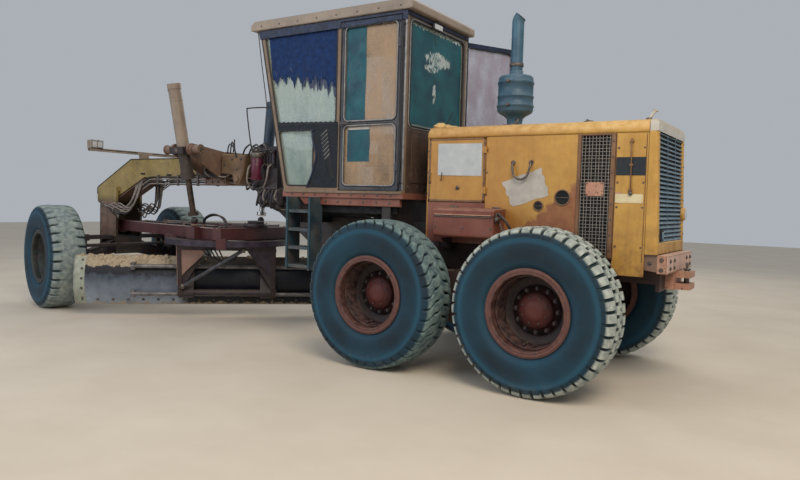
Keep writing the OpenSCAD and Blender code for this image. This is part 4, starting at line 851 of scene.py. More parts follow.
def makeHoodDoors():
    # Rim strips, screws and latch on each side door, and a blank sign, bent by a sine, on the left one
    for sideName, side in (("left", 1), ("right", -1)):
        shape = Shape()
        y = side * 0.51
        x0, x1 = hood["doorX"][0] + 0.002, hood["doorX"][1] - 0.002
        z0, z1 = hood["doorZ"][0] + 0.002, hood["doorZ"][1] - 0.002
        for a, b in (((x0, z0), (x0 + 0.018, z1)), ((x1 - 0.018, z0), (x1, z1)),
                     ((x0, z0), (x1, z0 + 0.018)), ((x0, z1 - 0.014), (x1, z1))):
            shape.box((a[0], y - side * 0.001, a[1]), (b[0], y + side * 0.004, b[1]), 0.002, 1)
        for z in np.linspace(z0 + 0.05, z1 - 0.05, 5):
            for x in (x0 + 0.009, x1 - 0.009):
                shape.nut((x, y + side * 0.004, z), (0, side, 0), 0.006, 0.005, 2)
        shape.lathe([(0.02, 0), (0.02, 0.006), (0.01, 0.01), (0.001, 0.01)], (-2.2, y, 1.66), (0, side, 0), 2,
                    24)
        shape.box((-2.215, y, 1.655), (-2.185, y + side * 0.02, 1.665), 0.002, 2)
        if side > 0:
            s, t = np.linspace(0, 1, 9)[:, None], np.linspace(0, 1, 13)[None, :]
            sign = (-1.985 - 0.455 * t, 0.5135 + 0.002 * np.sin(5 * t + 3 * s), 1.775 + 0.295 * s - 0.006 * t)
            shape.grid(np.stack(np.broadcast_arrays(*sign), -1), 0, flip=True)
            shape.tube([(-2.03, 0.512, 1.8), (-2.035, 0.528, 1.775), (-2.03, 0.526, 1.74),
                        (-2.02, 0.514, 1.725)], 0.005, 2)
        shape.make(f"hood_door_trim_{sideName}", f"hood_door_{sideName}",
                   [whiteSign, lineBrown, bolt])


radiator = {"rear": -3.96, "foot": -3.995, "louvres": 25, "lowest": 1.262, "reach": 0.862, "half": 0.452}


def makeRadiator():
    # Cap: a rounded-square arch (sine and cosine to the power 0.22) set back in steps; blades: one bent
    # outline
    # carried across, repeated up the leaning face
    shape = Shape()

    def face(z):
        return radiator["foot"] + (radiator["rear"] - radiator["foot"]) * np.clip((z - 1.25) / 0.98, 0, 1)

    q = np.linspace(0, math.pi, 25)
    arch = 0.512 * np.sign(np.cos(q)) * np.abs(np.cos(q)) ** 0.22
    rows = []
    for x, drop in ((-3.902, 0.0), (-3.93, 0.001), (-3.95, 0.006), (-3.962, 0.018), (-3.968, 0.034),
                    (-3.968, 0.034)):
        rows.append(np.stack([np.full(25, x), arch, 2.13 + (0.106 - drop) * np.abs(np.sin(q)) ** 0.22], -1))
    rows.append([(-3.968, p[1] * 0.97, 2.128) for p in rows[-1]])
    shape.grid(rows, 0, flip=True)
    for side in (1, -1):
        rows = []
        for z in np.linspace(1.15, 2.135, 8):
            f = face(z)
            rows.append([(x, side * y, z) for x, y in ((-3.9, 0.5115), (f + 0.02, 0.5115), (f + 0.004, 0.506),
                                                       (f - 0.003, 0.494), (f - 0.003, 0.455),
                                                       (f + 0.03, 0.452))])
        shape.grid(rows, 1, flip=side < 0)
    shape.box((-3.998, -0.505, 1.15), (-3.96, 0.505, 1.245), 0.006, 1)
    blade = ((0.004, -0.014), (0.001, -0.01), (0.024, 0.012), (0.048, 0.016), (0.048, 0.013), (0.026, 0.008))
    for k in range(radiator["louvres"]):
        z = radiator["lowest"] + radiator["reach"] * k / (radiator["louvres"] - 1)
        outline = [(face(z) + dx, z + dz) for dx, dz in blade]
        shape.slab(outline, -radiator["half"], radiator["half"], "xz", 2, 0.0006)
    for y in (-0.15, 0.15):
        shape.grid([[(face(z) + 0.002, y + s * 0.007, z) for s in (-1, 1)] for z in (1.25, 2.13)], 2)
    # near-black sheet behind the louvres: painted shade
    shape.box((-3.948, -0.45, 1.24), (-3.944, 0.45, 2.13), 0.001, 3)
    # low lamp box on the left, round lamp at the right edge
    shape.box((-4.004, 0.33, 1.255), (-3.985, 0.42, 1.345), 0.006, 3)
    shape.box((-4.01, 0.345, 1.27), (-4.003, 0.405, 1.33), 0.004, 2)
    lamp = (-3.975, -0.47, 1.475)
    shape.lathe([(0.055, 0.0), (0.06, 0.016), (0.058, 0.03), (0.045, 0.038), (0.001, 0.04)], lamp, (-1, 0, 0),
                1, 32)
    shape.lathe([(0.046, 0.039), (0.03, 0.046), (0.001, 0.048)], lamp, (-1, 0, 0), 4, 32)
    for side in (1, -1):
        for z in (1.3, 1.6, 1.9, 2.1):
            shape.nut((face(z) - 0.003, side * 0.475, z), (-1, 0, 0), 0.007, 0.005, 5)
    return shape.make("radiator_louvres", "rear_frame",
                      [palePaint, hoodPaint, louvrePaint, sootAndShadeBlack, lampGlass, bolt], "radiator_guard")


muffler = {  # metres: place, drum's profile, pipe's bend, outer and inner radius
    "x": -2.52, "z": 2.23, "bend": 45, "pipe": (0.0575, 0.0535),
    "drum": [(0.088, 0.0), (0.09, 0.012), (0.074, 0.03), (0.07, 0.06), (0.078, 0.11), (0.11, 0.136),
             (0.148, 0.156),
             (0.163, 0.17), (0.17, 0.186), (0.17, 0.212), (0.176, 0.216), (0.176, 0.232), (0.169, 0.236),
             (0.167, 0.3), (0.173, 0.304), (0.173, 0.318), (0.167, 0.322), (0.166, 0.43), (0.172, 0.434),
             (0.172, 0.452), (0.166, 0.456), (0.163, 0.49), (0.15, 0.508), (0.12, 0.516), (0.072, 0.522),
             (0.064, 0.528), (0.064, 0.56), (0.058, 0.562)],
}


def makeMuffler():
    # Drum: a profile turned upright. Pipe: rings square to a path that rises and then bends back on an arc.
    shape = Shape()
    x, z = muffler["x"], muffler["z"]
    shape.lathe(muffler["drum"], (x, 0, z), (0, 0, 1), 0, 64)
    for h in (0.224, 0.443):
        shape.box((x - 0.014, 0.168, z + h - 0.012), (x + 0.014, 0.196, z + h + 0.012), 0.003, 1)
        shape.rod((x - 0.024, 0.186, z + h), (x + 0.024, 0.186, z + h), 0.005, 1, 8)
    bend = math.radians(muffler["bend"])
    path = [np.array([x, 0, z + 0.55 + 0.11 * k]) for k in range(5)]
    for a in np.linspace(0.12, bend, 7):
        path.append(np.array([x - 0.09 * (1 - math.cos(a)), 0, z + 1.01 + 0.09 * math.sin(a)]))
    turn = np.linspace(0, math.tau, 32, endpoint=False)[:, None]

    def ring(p, t, r):
        return p + r * (np.cos(turn) * np.array([t[2], 0, -t[0]]) + np.sin(turn) * np.array([0, 1, 0]))

    outer, inner = muffler["pipe"]
    # the pipe's inside is near black: soot and painted shade
    for r, mark in ((outer, 0), (inner, 2)):
        rows = []
        for i, p in enumerate(path):
            t = path[min(i + 1, len(path) - 1)] - path[max(i - 1, 0)]
            rows.append(ring(p, t / np.linalg.norm(t), r))
        shape.grid(rows, mark, wrapV=True, flip=mark == 0)
    t = np.array([-math.sin(bend), 0, math.cos(bend)])
    shape.grid([ring(path[-1], t, outer), ring(path[-1], t, inner)], 0, wrapV=True, flip=True)
    shape.lathe([(0.064, 0.0), (0.067, 0.004), (0.067, 0.03), (0.062, 0.034)], (x, 0, z + 0.6), (0, 0, 1), 1,
                32)
    shape.tube([(x + 0.06, 0.1, z + 0.005), (x + 0.09, 0.13, z + 0.02), (x + 0.12, 0.1, z + 0.02)], 0.012, 1)
    for k in range(6):
        a = k * math.tau / 6 + 0.3
        shape.nut((x + 0.104 * math.cos(a), 0.104 * math.sin(a), z + 0.006), (0, 0, 1), 0.009, 0.012, 1)
    shape.lathe([(0.12, 0.0), (0.12, 0.006), (0.07, 0.008)], (x, 0, z), (0, 0, 1), 1, 40)
    return shape.make("muffler_drum", "rear_frame", [stackPaint, bolt, sootAndShadeBlack],
                      "muffler")


def makeToolBox():
    # Box and lid: a rounded section of each carried along the machine; latch lever, hinges and brackets
    shape = Shape()
    x0, x1, y0, y1 = -2.685, -2.085, 0.512, 0.75
    section = [(y0, 1.215), (y1 - 0.03, 1.212), (y1 - 0.012, 1.216), (y1 - 0.002, 1.228), (y1, 1.245),
               (y1, 1.405), (y0, 1.405)]
    shape.slab(section, x0, x1, "yz", 0, 0.006, False)
    lid = [(y0, 1.408), (y1 + 0.006, 1.408), (y1 + 0.007, 1.45), (y1 - 0.003, 1.462), (y1 - 0.03, 1.466),
           (y0, 1.478)]
    shape.slab(lid, x0 - 0.006, x1 + 0.006, "yz", 0, 0.004)
    shape.box((x0 + 0.01, y1 + 0.001, 1.394), (x1 - 0.01, y1 + 0.01, 1.404), 0.002, 1)
    shape.box((x0 + 0.02, y1 + 0.006, 1.409), (x1 - 0.02, y1 + 0.012, 1.419), 0.002, 2)
    # latch lever and pin at its rear
    shape.box((x0 - 0.02, y1 - 0.1, 1.36), (x0 + 0.001, y1 - 0.02, 1.44), 0.004, 1)
    shape.tube([(x0 - 0.015, y1 - 0.05, 1.43), (x0 - 0.07, y1 - 0.03, 1.405), (x0 - 0.12, y1 - 0.04, 1.34),
                (x0 - 0.135, y1 - 0.06, 1.3)], 0.012, 3, 10)
    shape.rod((x0 - 0.03, y1 - 0.1, 1.39), (x0 - 0.03, y1 + 0.005, 1.39), 0.016, 1, 14)
    shape.tube([(x0 - 0.02, y1 - 0.08, 1.36), (x0 - 0.05, y1 - 0.07, 1.3), (x0 - 0.1, y1 - 0.1, 1.25)], 0.009,
               1)
    for x in (-2.6, -2.17):
        shape.rod((x - 0.04, y0 + 0.006, 1.482), (x + 0.04, y0 + 0.006, 1.482), 0.009, 1, 12)
    for x in (-2.66, -2.385, -2.11):
        shape.nut((x, y1, 1.3), (0, 1, 0), 0.008, 0.006, 1)
    for x in (-2.62, -2.15):
        shape.slab([(0.5, 1.2), (0.7, 1.2), (0.7, 1.185), (0.53, 1.1), (0.5, 1.1)], x - 0.006, x + 0.006,
                   "yz", 3, 0.002)
    return shape.make("tool_box_shell", "rear_frame", [boxRed, bolt, pinkRust, darkSteel],
                      "tool_box")


def makeBumper():
    # Pink plates over the bumper's rear, corner gussets, and the ringed pin of the tow block
    shape = Shape()
    x0, x1 = -4.078, -3.996
    gusset = [(-4.062, 1.003), (-3.9, 1.02), (-3.86, 1.06), (-3.9, 1.15), (-4.0, 1.15), (-4.062, 1.14)]
    for side in (1, -1):
        shape.slab(gusset, side * 0.484 - 0.005, side * 0.484 + 0.005, "xz", 1, 0.003)
        for x, z in ((-4.03, 1.03), (-4.03, 1.11), (-3.94, 1.08)):
            shape.nut((x, side * 0.49, z), (0, side, 0), 0.013, 0.01, 2)
    shape.slab([(-0.486, 1.002), (0.486, 1.002), (0.486, 1.144), (-0.486, 1.144)], x0, x0 + 0.012, "yz", 0,
               0.004)
    for z in (1.134, 1.0):
        shape.box((x0, -0.486, z), (x1, 0.486, z + 0.012), 0.004, 0)
    for y in (-0.4, -0.25, 0.25, 0.4):
        for z in (1.1, 1.04):
            shape.nut((x0, y, z), (-1, 0, 0), 0.014, 0.012, 2)
    shape.rod((-4.135, 0, 0.862), (-4.135, 0, 1.02), 0.022, 2, 18)
    shape.rod((-4.135, 0, 1.012), (-4.135, 0, 1.024), 0.032, 2, 18)
    ring = [(-4.135, y, z) for y, z in ((0, 1.02), (0.03, 1.045), (0, 1.068), (-0.03, 1.045), (0, 1.02))]
    shape.tube(ring, 0.005, 2)
    return shape.make("bumper_plates", "rear_frame", [bumperPink, castBrown, bolt])


def makeHoodPaint():
    # Ochre enamel: browner to the front and low down, with a corner of bare red-brown primer before the
    # grille
    net = Net(over=paint("faded_ochre_hood_paint", "b98a3c", "c89c48", "8f6529", rust="6d3a20",
                         rustDark="3f2318", dust="d8b47a", lowTo=1.0, chipFrom=0.69, runs=0.4, film=0.16,
                         dents=4.0, lowRust=0.75, dustUp=0.95, mottle=0.45, upFrom=-0.05, upTo=0.35))
    old = net.under()
    x, z = net.add("x", net.place), net.add("z", net.place)
    front = net.add("times", net.add("ramp", x, -3.5, -2.3),
                    net.patches(300, 0.3, 0.6, 4, least=0.5, full=1.0))
    foot = net.add("times", net.add("ramp", z, 1.75, 1.35),
                   net.add("times", net.add("ramp", x, -3.1, -2.7), 0.6))
    brown = net.add("most", net.add("times", front, 0.35), foot)
    colour = net.add("mix", brown, old, rgb("94561f"))
    edge = net.add("take", net.add("add", net.add("times", x, -0.8), -0.94), z)
    edge = net.add("add", edge, net.patches(60, 0.3, 0.7, 5, 0.6, least=-0.04, full=0.04))
    primer = net.add("times", net.add("ramp", edge, -0.015, 0.03), net.add("ramp", x, -3.325, -3.32))
    primer = net.add("times", primer, net.add("ramp", x, -2.74, -2.78))
    tone = net.add("mix", net.patches(80, 0.35, 0.65, 5), rgb("7d4a31"), rgb("93603f"))
    colour = net.add("mix", net.add("times", primer, 0.9), colour, tone)
    net.put(net.shader.inputs["Base Color"], colour)
    return net.material


hoodPaint = makeHoodPaint()
# enamels and primers of the hood's parts: chalky, with brown rust where they are thin
lineBrown = paint("rusted_brown_edge_strip", "6d4a34", "85603f", "42291d", rust="563221", chipFrom=0.62,
                  film=0.2)
louvrePaint = paint("sun_faded_blue_louvre_paint", "3c6480", "6f93a8", "1f3a4e", rust="5f4436", dust="a3b0b5",
                    chipFrom=0.7, film=0.3, patch=60)
bumperPink = paint("pink_primer_over_bumper_rust", "c09c8c", "d3b3a4", "946556", rust="7b4636", dust="c9ad94",
                   chipFrom=0.66, film=0.2, dents=3.0, lowFrom=1.1, lowTo=0.9)
boxRed = paint("sun_faded_red_paint", "6e3728", "7f4535", "4f251b", rust="4d291f", dust="a98a7a", lowFrom=1.2,
               lowTo=0.9, film=0.12, dents=2.0, runs=0.15)
# blued by heat and weather, with hardly any rust
stackPaint = paint("heat_faded_blue_paint", "2a4f66", "3f6a82", "142935", rust="4f3a30", dust="8395a0",
                   chipFrom=0.7, film=0.14)
creamStrip = plain("bleached_cream_strip", "cdbf95", "dacfab", 60, 0.6, bump=0.2)  # old adhesive strip, matt
makeHoodSkin()
makeGrille()
makeHoodFittings()
makeHoodDoors()
makeRadiator()
makeMuffler()
makeToolBox()
makeBumper()
print("hood, radiator, muffler and bumper made")


doorX0 = cabRear + 0.05
doorX1 = doorX0 + 0.73
doorFoot = 1.61
doorHead = 3.29
beltZ = 2.27
windowLowX = doorX1 + 0.34
hingeX, hingeY = doorX0 - 0.005, cabHW + 0.014


# where the sloping cab front lies at a height
def cabFront(z):
    return -0.15 + 0.39 * (z - cabZ) / (roofZ - cabZ)


def softPoly(points, r, steps=5):
    # Closed outline with rounded corners.
    p = [Vector(q) for q in points]
    out = []
    for i, corner in enumerate(p):
        a = (p[i - 1] - corner).normalized() * r
        b = (p[(i + 1) % len(p)] - corner).normalized() * r
        for k in range(steps + 1):
            t = k / steps
            q = corner + a * (1 - t) ** 2 + b * t ** 2
            out.append((q.x, q.y))
    return out


def gasket(shape, outline, depth, plane, r, mark):
    # a thin tube round a closed outline, at a depth across its plane
    points = [(a, depth, b) if plane == "xz" else (depth, a, b) for a, b in outline]
    shape.tube(points + points[:2], r, mark, 6, 1)


def onDoor(shape, side):
    # the right door stands open, so its trim is drawn closed and turned about the hinge with it
    if side < 0:
        pin = Vector((hingeX, -hingeY, 0))
        swing = Matrix.Rotation(math.radians(-118), 4, "Z")
        shape.matrix = Matrix.Translation(pin) @ swing @ Matrix.Translation(-pin)


def makeDoorTrim(side):
    # Gaskets round both panes and the door's edge, pull handle, screws, film on the panes and the inner pull
    # bar
    name = "left" if side > 0 else "right"
    shape = Shape()
    onDoor(shape, side)
    outer, inner = side * (cabHW + 0.001), side * (cabHW - 0.041)
    rows = ((doorFoot + 0.06, beltZ - 0.01), (beltZ + 0.04, doorHead - 0.05))
    for z0, z1 in rows:
        outline = roundRect(doorX0 + 0.052, z0 - 0.003, doorX1 - 0.052, z1 + 0.003, 0.052, 6)
        # the pale gaskets round each pane, outside and inside: painted highlights along the seals
        gasket(shape, outline, outer, "xz", 0.0065, 1)
        gasket(shape, roundRect(doorX0 + 0.043, z0 - 0.012, doorX1 - 0.043, z1 + 0.012, 0.058, 6), outer,
               "xz", 0.005, 0)
        gasket(shape, outline, inner, "xz", 0.007, 1)
    gasket(shape, roundRect(doorX0 + 0.008, doorFoot + 0.008, doorX1 - 0.008, 3.232, 0.028, 5), outer, "xz",
           0.006, 0)
    # pull handle and latch near the front edge, hinge straps at the rear
    y = side * (cabHW + 0.004)
    shape.box((doorX1 - 0.075, y, beltZ - 0.012), (doorX1 - 0.012, y + side * 0.01, beltZ + 0.042), 0.003, 2)
    shape.tube([(doorX1 - 0.022, y, beltZ + 0.03), (doorX1 - 0.03, y + side * 0.034, beltZ + 0.018),
                (doorX1 - 0.052, y + side * 0.038, beltZ + 0.014),
                (doorX1 - 0.14, y + side * 0.036, beltZ + 0.012)], 0.008, 3, 8, 6)
    for z in (1.81, 2.99):
        for dz in (0.018, 0.072):
            shape.nut((doorX0 + 0.019, side * (cabHW + 0.01), z + dz), (0, side, 0), 0.006, 0.005, 3)
    for z in (doorFoot + 0.028, beltZ + 0.015, doorHead - 0.024):
        for x in (doorX0 + 0.18, doorX0 + 0.42, doorX0 + 0.58):
            shape.nut((x, side * cabHW, z), (0, side, 0), 0.006, 0.004, 3)
    # film stuck to the panes
    yy = side * (cabHW - 0.0165)
    if side > 0:
        for x0, x1, z0, z1 in ((doorX1 - 0.302, doorX1 - 0.062, 2.318, 3.232), (-1.245, -0.972, 1.905, 2.25)):
            wave = [(x0 + 0.004 * math.sin(9 * t), z0 + (z1 - z0) * t) for t in np.linspace(0, 1, 9)]
            shape.slab(wave + [(x1, z1), (x1, z0)], yy, yy + 0.0012, "xz", 4, 0.0003)
        shape.slab([(x0 + 0.006, 2.222), (x1 - 0.01, 2.222), (x1 - 0.01, 2.244), (x0 + 0.006, 2.246)],
                   yy + 0.0012, yy + 0.002, "xz", 5, 0.0003)
    # the door's own length of the band under the roof
    low, high = sorted((side * (cabHW + 0.0005), side * (cabHW + 0.013)))
    shape.slab([(doorX0 + 0.002, 3.239), (doorX1 - 0.002, 3.239), (doorX1 - 0.002, 3.289),
                (doorX0 + 0.002, 3.289)], low, high, "xz", 6, 0.003)
    # inner pull bar
    shape.tube([(doorX1 - 0.1, side * (cabHW - 0.04), 2.29), (doorX1 - 0.11, side * (cabHW - 0.085), 2.29),
                (doorX1 - 0.42, side * (cabHW - 0.085), 2.29), (doorX1 - 0.43, side * (cabHW - 0.04), 2.29)],
               0.008, 3, 8, 4)
    return shape.make(f"door_trim_{name}", f"cab_door_{name}",
                      [sealRubber, paleTrimAndHighlight, doorPaint, bolt, tealFilm, paleSheet, navyTrim])


def makeCabWalls():
    # Gaskets, gutters, posts and the dark inner panel seen on the cab's sides.
    shape = Shape()
    for side in (1, -1):
        y = side * (cabHW + 0.0005)
        x0 = doorX1 + 0.05
        upper = softPoly([(x0, beltZ + 0.03), (cabFront(beltZ + 0.03) - 0.06, beltZ + 0.03),
                          (cabFront(3.27) - 0.06, 3.27), (x0, 3.27)], 0.04)
        xl = windowLowX
        lower = softPoly([(xl, 1.66), (cabFront(1.66) - 0.06, 1.66),
                          (cabFront(beltZ - 0.03) - 0.06, beltZ - 0.03), (xl, beltZ - 0.03)], 0.04)
        for outline in (upper, lower):
            gasket(shape, outline, y, "xz", 0.008, 0)
        # gutter under the roof
        shape.slab([(cabRear - 0.012, 3.238), (doorX0 - 0.008, 3.238), (doorX0 - 0.008, 3.296),
                    (doorX1 + 0.008, 3.296), (doorX1 + 0.008, 3.238), (cabFront(3.24) + 0.012, 3.238),
                    (cabFront(3.325) + 0.018, 3.325), (cabRear - 0.012, 3.325)], y if side > 0 else y - 0.014,
                   y + 0.014 if side > 0 else y, "xz", 1, 0.004)
        # serrated dark belt and the dark inner panel behind the front window's lower part
        n = 26
        top = [(x0 - 0.03 + (cabFront(2.3) - x0 - 0.02) * t / n, 2.304 + 0.01 * (t % 2) + 0.022 * (t / n))
               for t in range(n + 1)]
        foot = [(cabFront(2.25) - 0.055, 2.238), (x0 - 0.03, 2.236)]
        shape.slab(top + foot, *sorted((y, y + side * 0.006)), "xz", 2, 0.001)
        panel = [(x0 - 0.034, 1.64), (x0 - 0.034, 2.24), (-0.555, 2.24), (-0.528, 2.205), (-0.56, 2.06),
                 (-0.585, 1.96), (-0.545, 1.8), (-0.47, 1.64)]
        shape.slab(panel, *sorted((y, y + side * 0.005)), "xz", 2, 0.001)
        rim = [(p[0], y + side * 0.006, p[1]) for p in panel[2:]]
        shape.tube(rim, 0.011, 1, 6, 5)
        for k in range(26):
            t = k / 25
            a = Vector((-0.64 - 0.13 * t ** 1.2, y + side * 0.006, 2.19 - 0.5 * t))
            b = a + Vector((-0.085 + 0.03 * t, side * 0.002, 0.062))
            shape.rod(a, b, 0.0045, 4 if k % 2 and t < 0.6 else 3, 6)
        # sill: grey rail with bolts over a red-brown channel
        shape.box((cabRear + 0.01, y, 1.586), (-0.17, y + side * 0.012, 1.612), 0.003, 5)
        for x in np.linspace(-1.52, -0.26, 9):
            shape.nut((x, y + side * 0.002, 1.572), (0, side, 0), 0.009, 0.007, 6)
        # front post edge trim, and a pale rod down the rear post that is a painted highlight
        z0, z1 = 1.62, 3.28
        shape.rod((cabFront(z0) - 0.004, y, z0), (cabFront(z1) - 0.004, y, z1), 0.007, 0, 8)
        shape.rod((cabRear + 0.006, y + side * 0.002, z0), (cabRear + 0.006, y + side * 0.002, z1), 0.01, 7,
                  8)
        # rubber strip behind the door's rear edge, the red-brown side rails below the floor, and a near-black
        # box under them that is painted shade
        shape.box((cabRear + 0.018, y, 1.62), (cabRear + 0.044, y + side * 0.006, 3.236), 0.002, 0)
        near, far = sorted((side * 0.548, side * 0.592))
        rail = [(cabRear + 0.04, 1.462), (-0.42, 1.462), (-0.34, 1.5385), (cabRear + 0.04, 1.5385)]
        shape.slab(rail, near, far, "xz", 9, 0.006)
        shape.box((cabRear + 0.1, side * 0.5, 1.385), (-0.52, side * 0.546, 1.5), 0.006, 10)
        for x in np.linspace(-1.5, -0.55, 7):
            shape.nut((x, side * 0.592, 1.5), (0, side, 0), 0.01, 0.008, 6)
        # grab rail down the rear corner
        xg, yg = cabRear + 0.016, side * (cabHW + 0.05)
        shape.tube([(xg, side * cabHW, 3.2), (xg, yg - side * 0.006, 3.19), (xg, yg, 3.15), (xg, yg, 2.46),
                    (xg, yg, 1.76), (xg, yg - side * 0.006, 1.7), (xg, side * cabHW, 1.69)], 0.011, 8, 8, 4)
        for z in (3.2, 1.69):
            shape.rod((xg, side * cabHW, z), (xg, side * (cabHW + 0.006), z), 0.024, 8, 12)
        # mirror stay ahead of the front post
        shape.tube([(0.08, side * 0.612, 2.497), (0.2, side * 0.64, 2.5), (0.36, side * 0.65, 2.497),
                    (0.384, side * 0.65, 2.47), (0.34, side * 0.648, 2.2), (0.304, side * 0.645, 2.04),
                    (0.27, side * 0.64, 2.026), (0.1, side * 0.62, 2.04), (-0.035, side * 0.612, 2.05)],
                   0.007, 8, 8, 5)
    shape.tube([(0.262, 0.628, 3.32), (0.24, 0.63, 3.24), (0.19, 0.632, 2.96), (0.13, 0.63, 2.64),
                (0.108, 0.628, 2.497)], 0.005, 0, 6, 5)
    return shape.make("cab_side_trim", "front_frame",
                      [sealRubber, navyTrim, blueDark, ribPaint, paleTrimAndHighlight, wallPaint, bolt, paleTrimAndHighlight,
                       sealRubber, redBrown, sootAndShadeBlack])


cloth = {  # metres: a cloth of cols x rows squares, hung by its head, torn along its foot
    "cols": 60, "rows": 12, "head": 3.262, "foot": 2.63, "wall": 0.0012, "threads": 90,
    "flat": (0.98, 0.62), "area": 0.5,
}


def makeWindowCloth():
    # Height falls evenly from head to foot. The foot is a row of tears: a bent sine of the length, plus
    # chance.
    # Depth is a small sine that grows towards the foot.
    shape = Shape()
    random.seed(17)
    cols, rows = cloth["cols"], cloth["rows"]
    x0 = doorX1 + 0.052
    points = []
    for j in range(cols + 1):
        t = j / cols
        tear = 0.085 * abs(math.sin(7.5 * t * math.pi)) ** 0.8
        tear += 0.06 * random.random() * (1 if 0.05 < t < 0.95 else 0.3)
        foot = cloth["foot"] + 0.075 * t + tear - 0.05 * math.exp(-((t - 0.05) / 0.06) ** 2)
        down = np.arange(rows + 1) / rows
        z = cloth["head"] + (foot - cloth["head"]) * down
        x = x0 + (cabFront(z) - 0.072 - x0) * t - 0.035 * max(t - 0.93, 0) / 0.07 * (1 - down)
        y = cabHW - 0.0102 + 0.0016 * np.sin(24 * t + 0.8 * np.arange(rows + 1)) * (0.3 + 0.7 * down)
        points.append(np.stack([x, y, z], -1))
    shape.grid(points, 0)
    hung = shape.make("window_cloth", "front_frame", [denim])
    thicken(hung, cloth["wall"])
    hem = [column[-1] for column in points]
    shape = Shape()
    fringe = []
    for j, (x, y, z) in enumerate(hem):
        low = z - (0.03 + 0.09 * random.random()) * smooth01((0.62 - j / cols) / 0.3 + 0.2)
        fringe.append([(x, y - 0.002, min(z + 0.1, 3.1)), (x, y - 0.0016, z), (x, y - 0.0018, low)])
    shape.grid(fringe, 0)
    for _ in range(cloth["threads"]):
        j = random.randrange(2, cols - 1)
        x, y, z = hem[j]
        if j > 0.45 * cols or random.random() < 0.4:
            length = random.uniform(0.02, 0.11) if j < 0.5 * cols else random.uniform(0.01, 0.06)
            shape.tube([(x, y, z + 0.03), (x + random.uniform(-0.008, 0.008), y + 0.001, z - 0.4 * length),
                        (x + random.uniform(-0.02, 0.02), y + 0.001, z - length)], 0.0016, 0, 4, 3, 0.0006)
    threads = shape.make("window_cloth_fringe", "front_frame", [clothFray])
    return hung


def makeRearFilm():
    # Teal film on the rear pane with smears of old whitewash, gaskets, work lamp and hook.
    shape = Shape()
    random.seed(5)
    x = cabRear + 0.0165
    outline = [(-0.505, 2.275), (0.505, 2.275), (0.515, 2.4), (0.512, 3.1)]
    outline += [(0.515 - 1.03 * t, 3.205 + 0.018 * random.random() + (0.012 if k % 2 else -0.008)) for k,
                t in enumerate(np.linspace(0.02, 0.98, 30))]
    outline += [(-0.512, 3.08), (-0.515, 2.4)]
    shape.slab(outline, x - 0.0012, x, "yz", 0, 0.0003)
    gasket(shape, roundRect(-0.533, 2.247, 0.533, 3.253, 0.062, 6), cabRear - 0.0005, "yz", 0.01, 2)
    gasket(shape, roundRect(-0.546, 2.234, 0.546, 3.266, 0.07, 6), cabRear - 0.0005, "yz", 0.005, 3)
    shape.box((cabRear - 0.014, -0.6, 3.288), (cabRear + 0.0, 0.6, 3.325), 0.004, 4)
    # work lamp under the overhang and a wire hook
    shape.box((-1.712, 0.02, 3.235), (-1.682, 0.19, 3.3), 0.012, 5)
    shape.box((-1.7145, 0.03, 3.243), (-1.7115, 0.18, 3.292), 0.001, 6)
    shape.rod((-1.695, 0.105, 3.298), (-1.695, 0.105, 3.33), 0.012, 5, 10)
    shape.tube([(-1.66, 0.11, 3.17), (-1.676, 0.11, 3.16), (-1.678, 0.106, 3.11), (-1.68, 0.085, 3.092),
                (-1.68, 0.062, 3.104)], 0.004, 5, 6, 5)
    # screws and wiper under the rear pane
    for y in np.linspace(-0.52, 0.52, 7):
        shape.nut((cabRear, y, 2.2), (-1, 0, 0), 0.009, 0.006, 7)
        shape.nut((cabRear, y, 1.66), (-1, 0, 0), 0.01, 0.007, 7)
    shape.box((cabRear - 0.006, -0.48, 1.7), (cabRear, 0.48, 2.16), 0.003, 8)
    shape.rod((cabRear - 0.02, -0.02, 2.225), (cabRear + 0.0, -0.02, 2.225), 0.016, 5, 10)
    shape.tube([(cabRear - 0.018, -0.02, 2.225), (cabRear - 0.022, -0.16, 2.33),
                (cabRear - 0.02, -0.3, 2.48)], 0.005, 5, 6, 4)
    return shape.make("rear_wall_trim", "front_frame",
                      [whitewashedFilm, paleSheet, sealRubber, paleTrimAndHighlight, navyTrim, blackPlate, lampGlass,
                       bolt, rearWallPaint])


def makeWhitewashedFilm():
    # Teal window film with lime wash scraped over it: torn noise cut inside three ellipses
    net = Net("whitewashed_teal_film")
    y, z = net.add("y", net.place), net.add("z", net.place)
    smear = None
    for y0, z0, wide, high in ((-0.02, 2.965, 0.44, 0.135), (0.12, 2.86, 0.22, 0.07),
                               (0.045, 2.62, 0.055, 0.17)):
        dy, dz = net.add("take", y, y0), net.add("take", z, z0)
        reach = net.add("add", net.add("times", net.add("times", dy, dy), wide ** -2),
                        net.add("times", net.add("times", dz, dz), high ** -2))
        zone = net.add("ramp", reach, 1.0, 0.2)
        smear = zone if smear is None else net.add("most", smear, zone)
    torn = net.add("noise", net.add("stretch", net.place, (1, 1, 0.6)), 1000 / 62, 7, 0.72, 1.2)
    share = net.add("ramp", net.add("add", torn, net.add("ramp", smear, 0, 1, -0.45, 0.02)), 0.475, 0.505)
    teal = net.add("mix", net.patches(200, 0.35, 0.68, 4), rgb("053c4a"), rgb("0d5a63"))
    lime = net.add("mix", net.patches(30, 0.3, 0.7, 4), rgb("8fa3a6"), rgb("bcc5c4"))
    relief = net.add("bump", 0.5, 0.6 / 1000, net.add("noise", net.place, 1000 / 120, 3, 0.55))
    return net.finish(net.add("mix", share, teal, lime), net.add("ramp", share, 0, 1, 0.5, 0.85), relief)


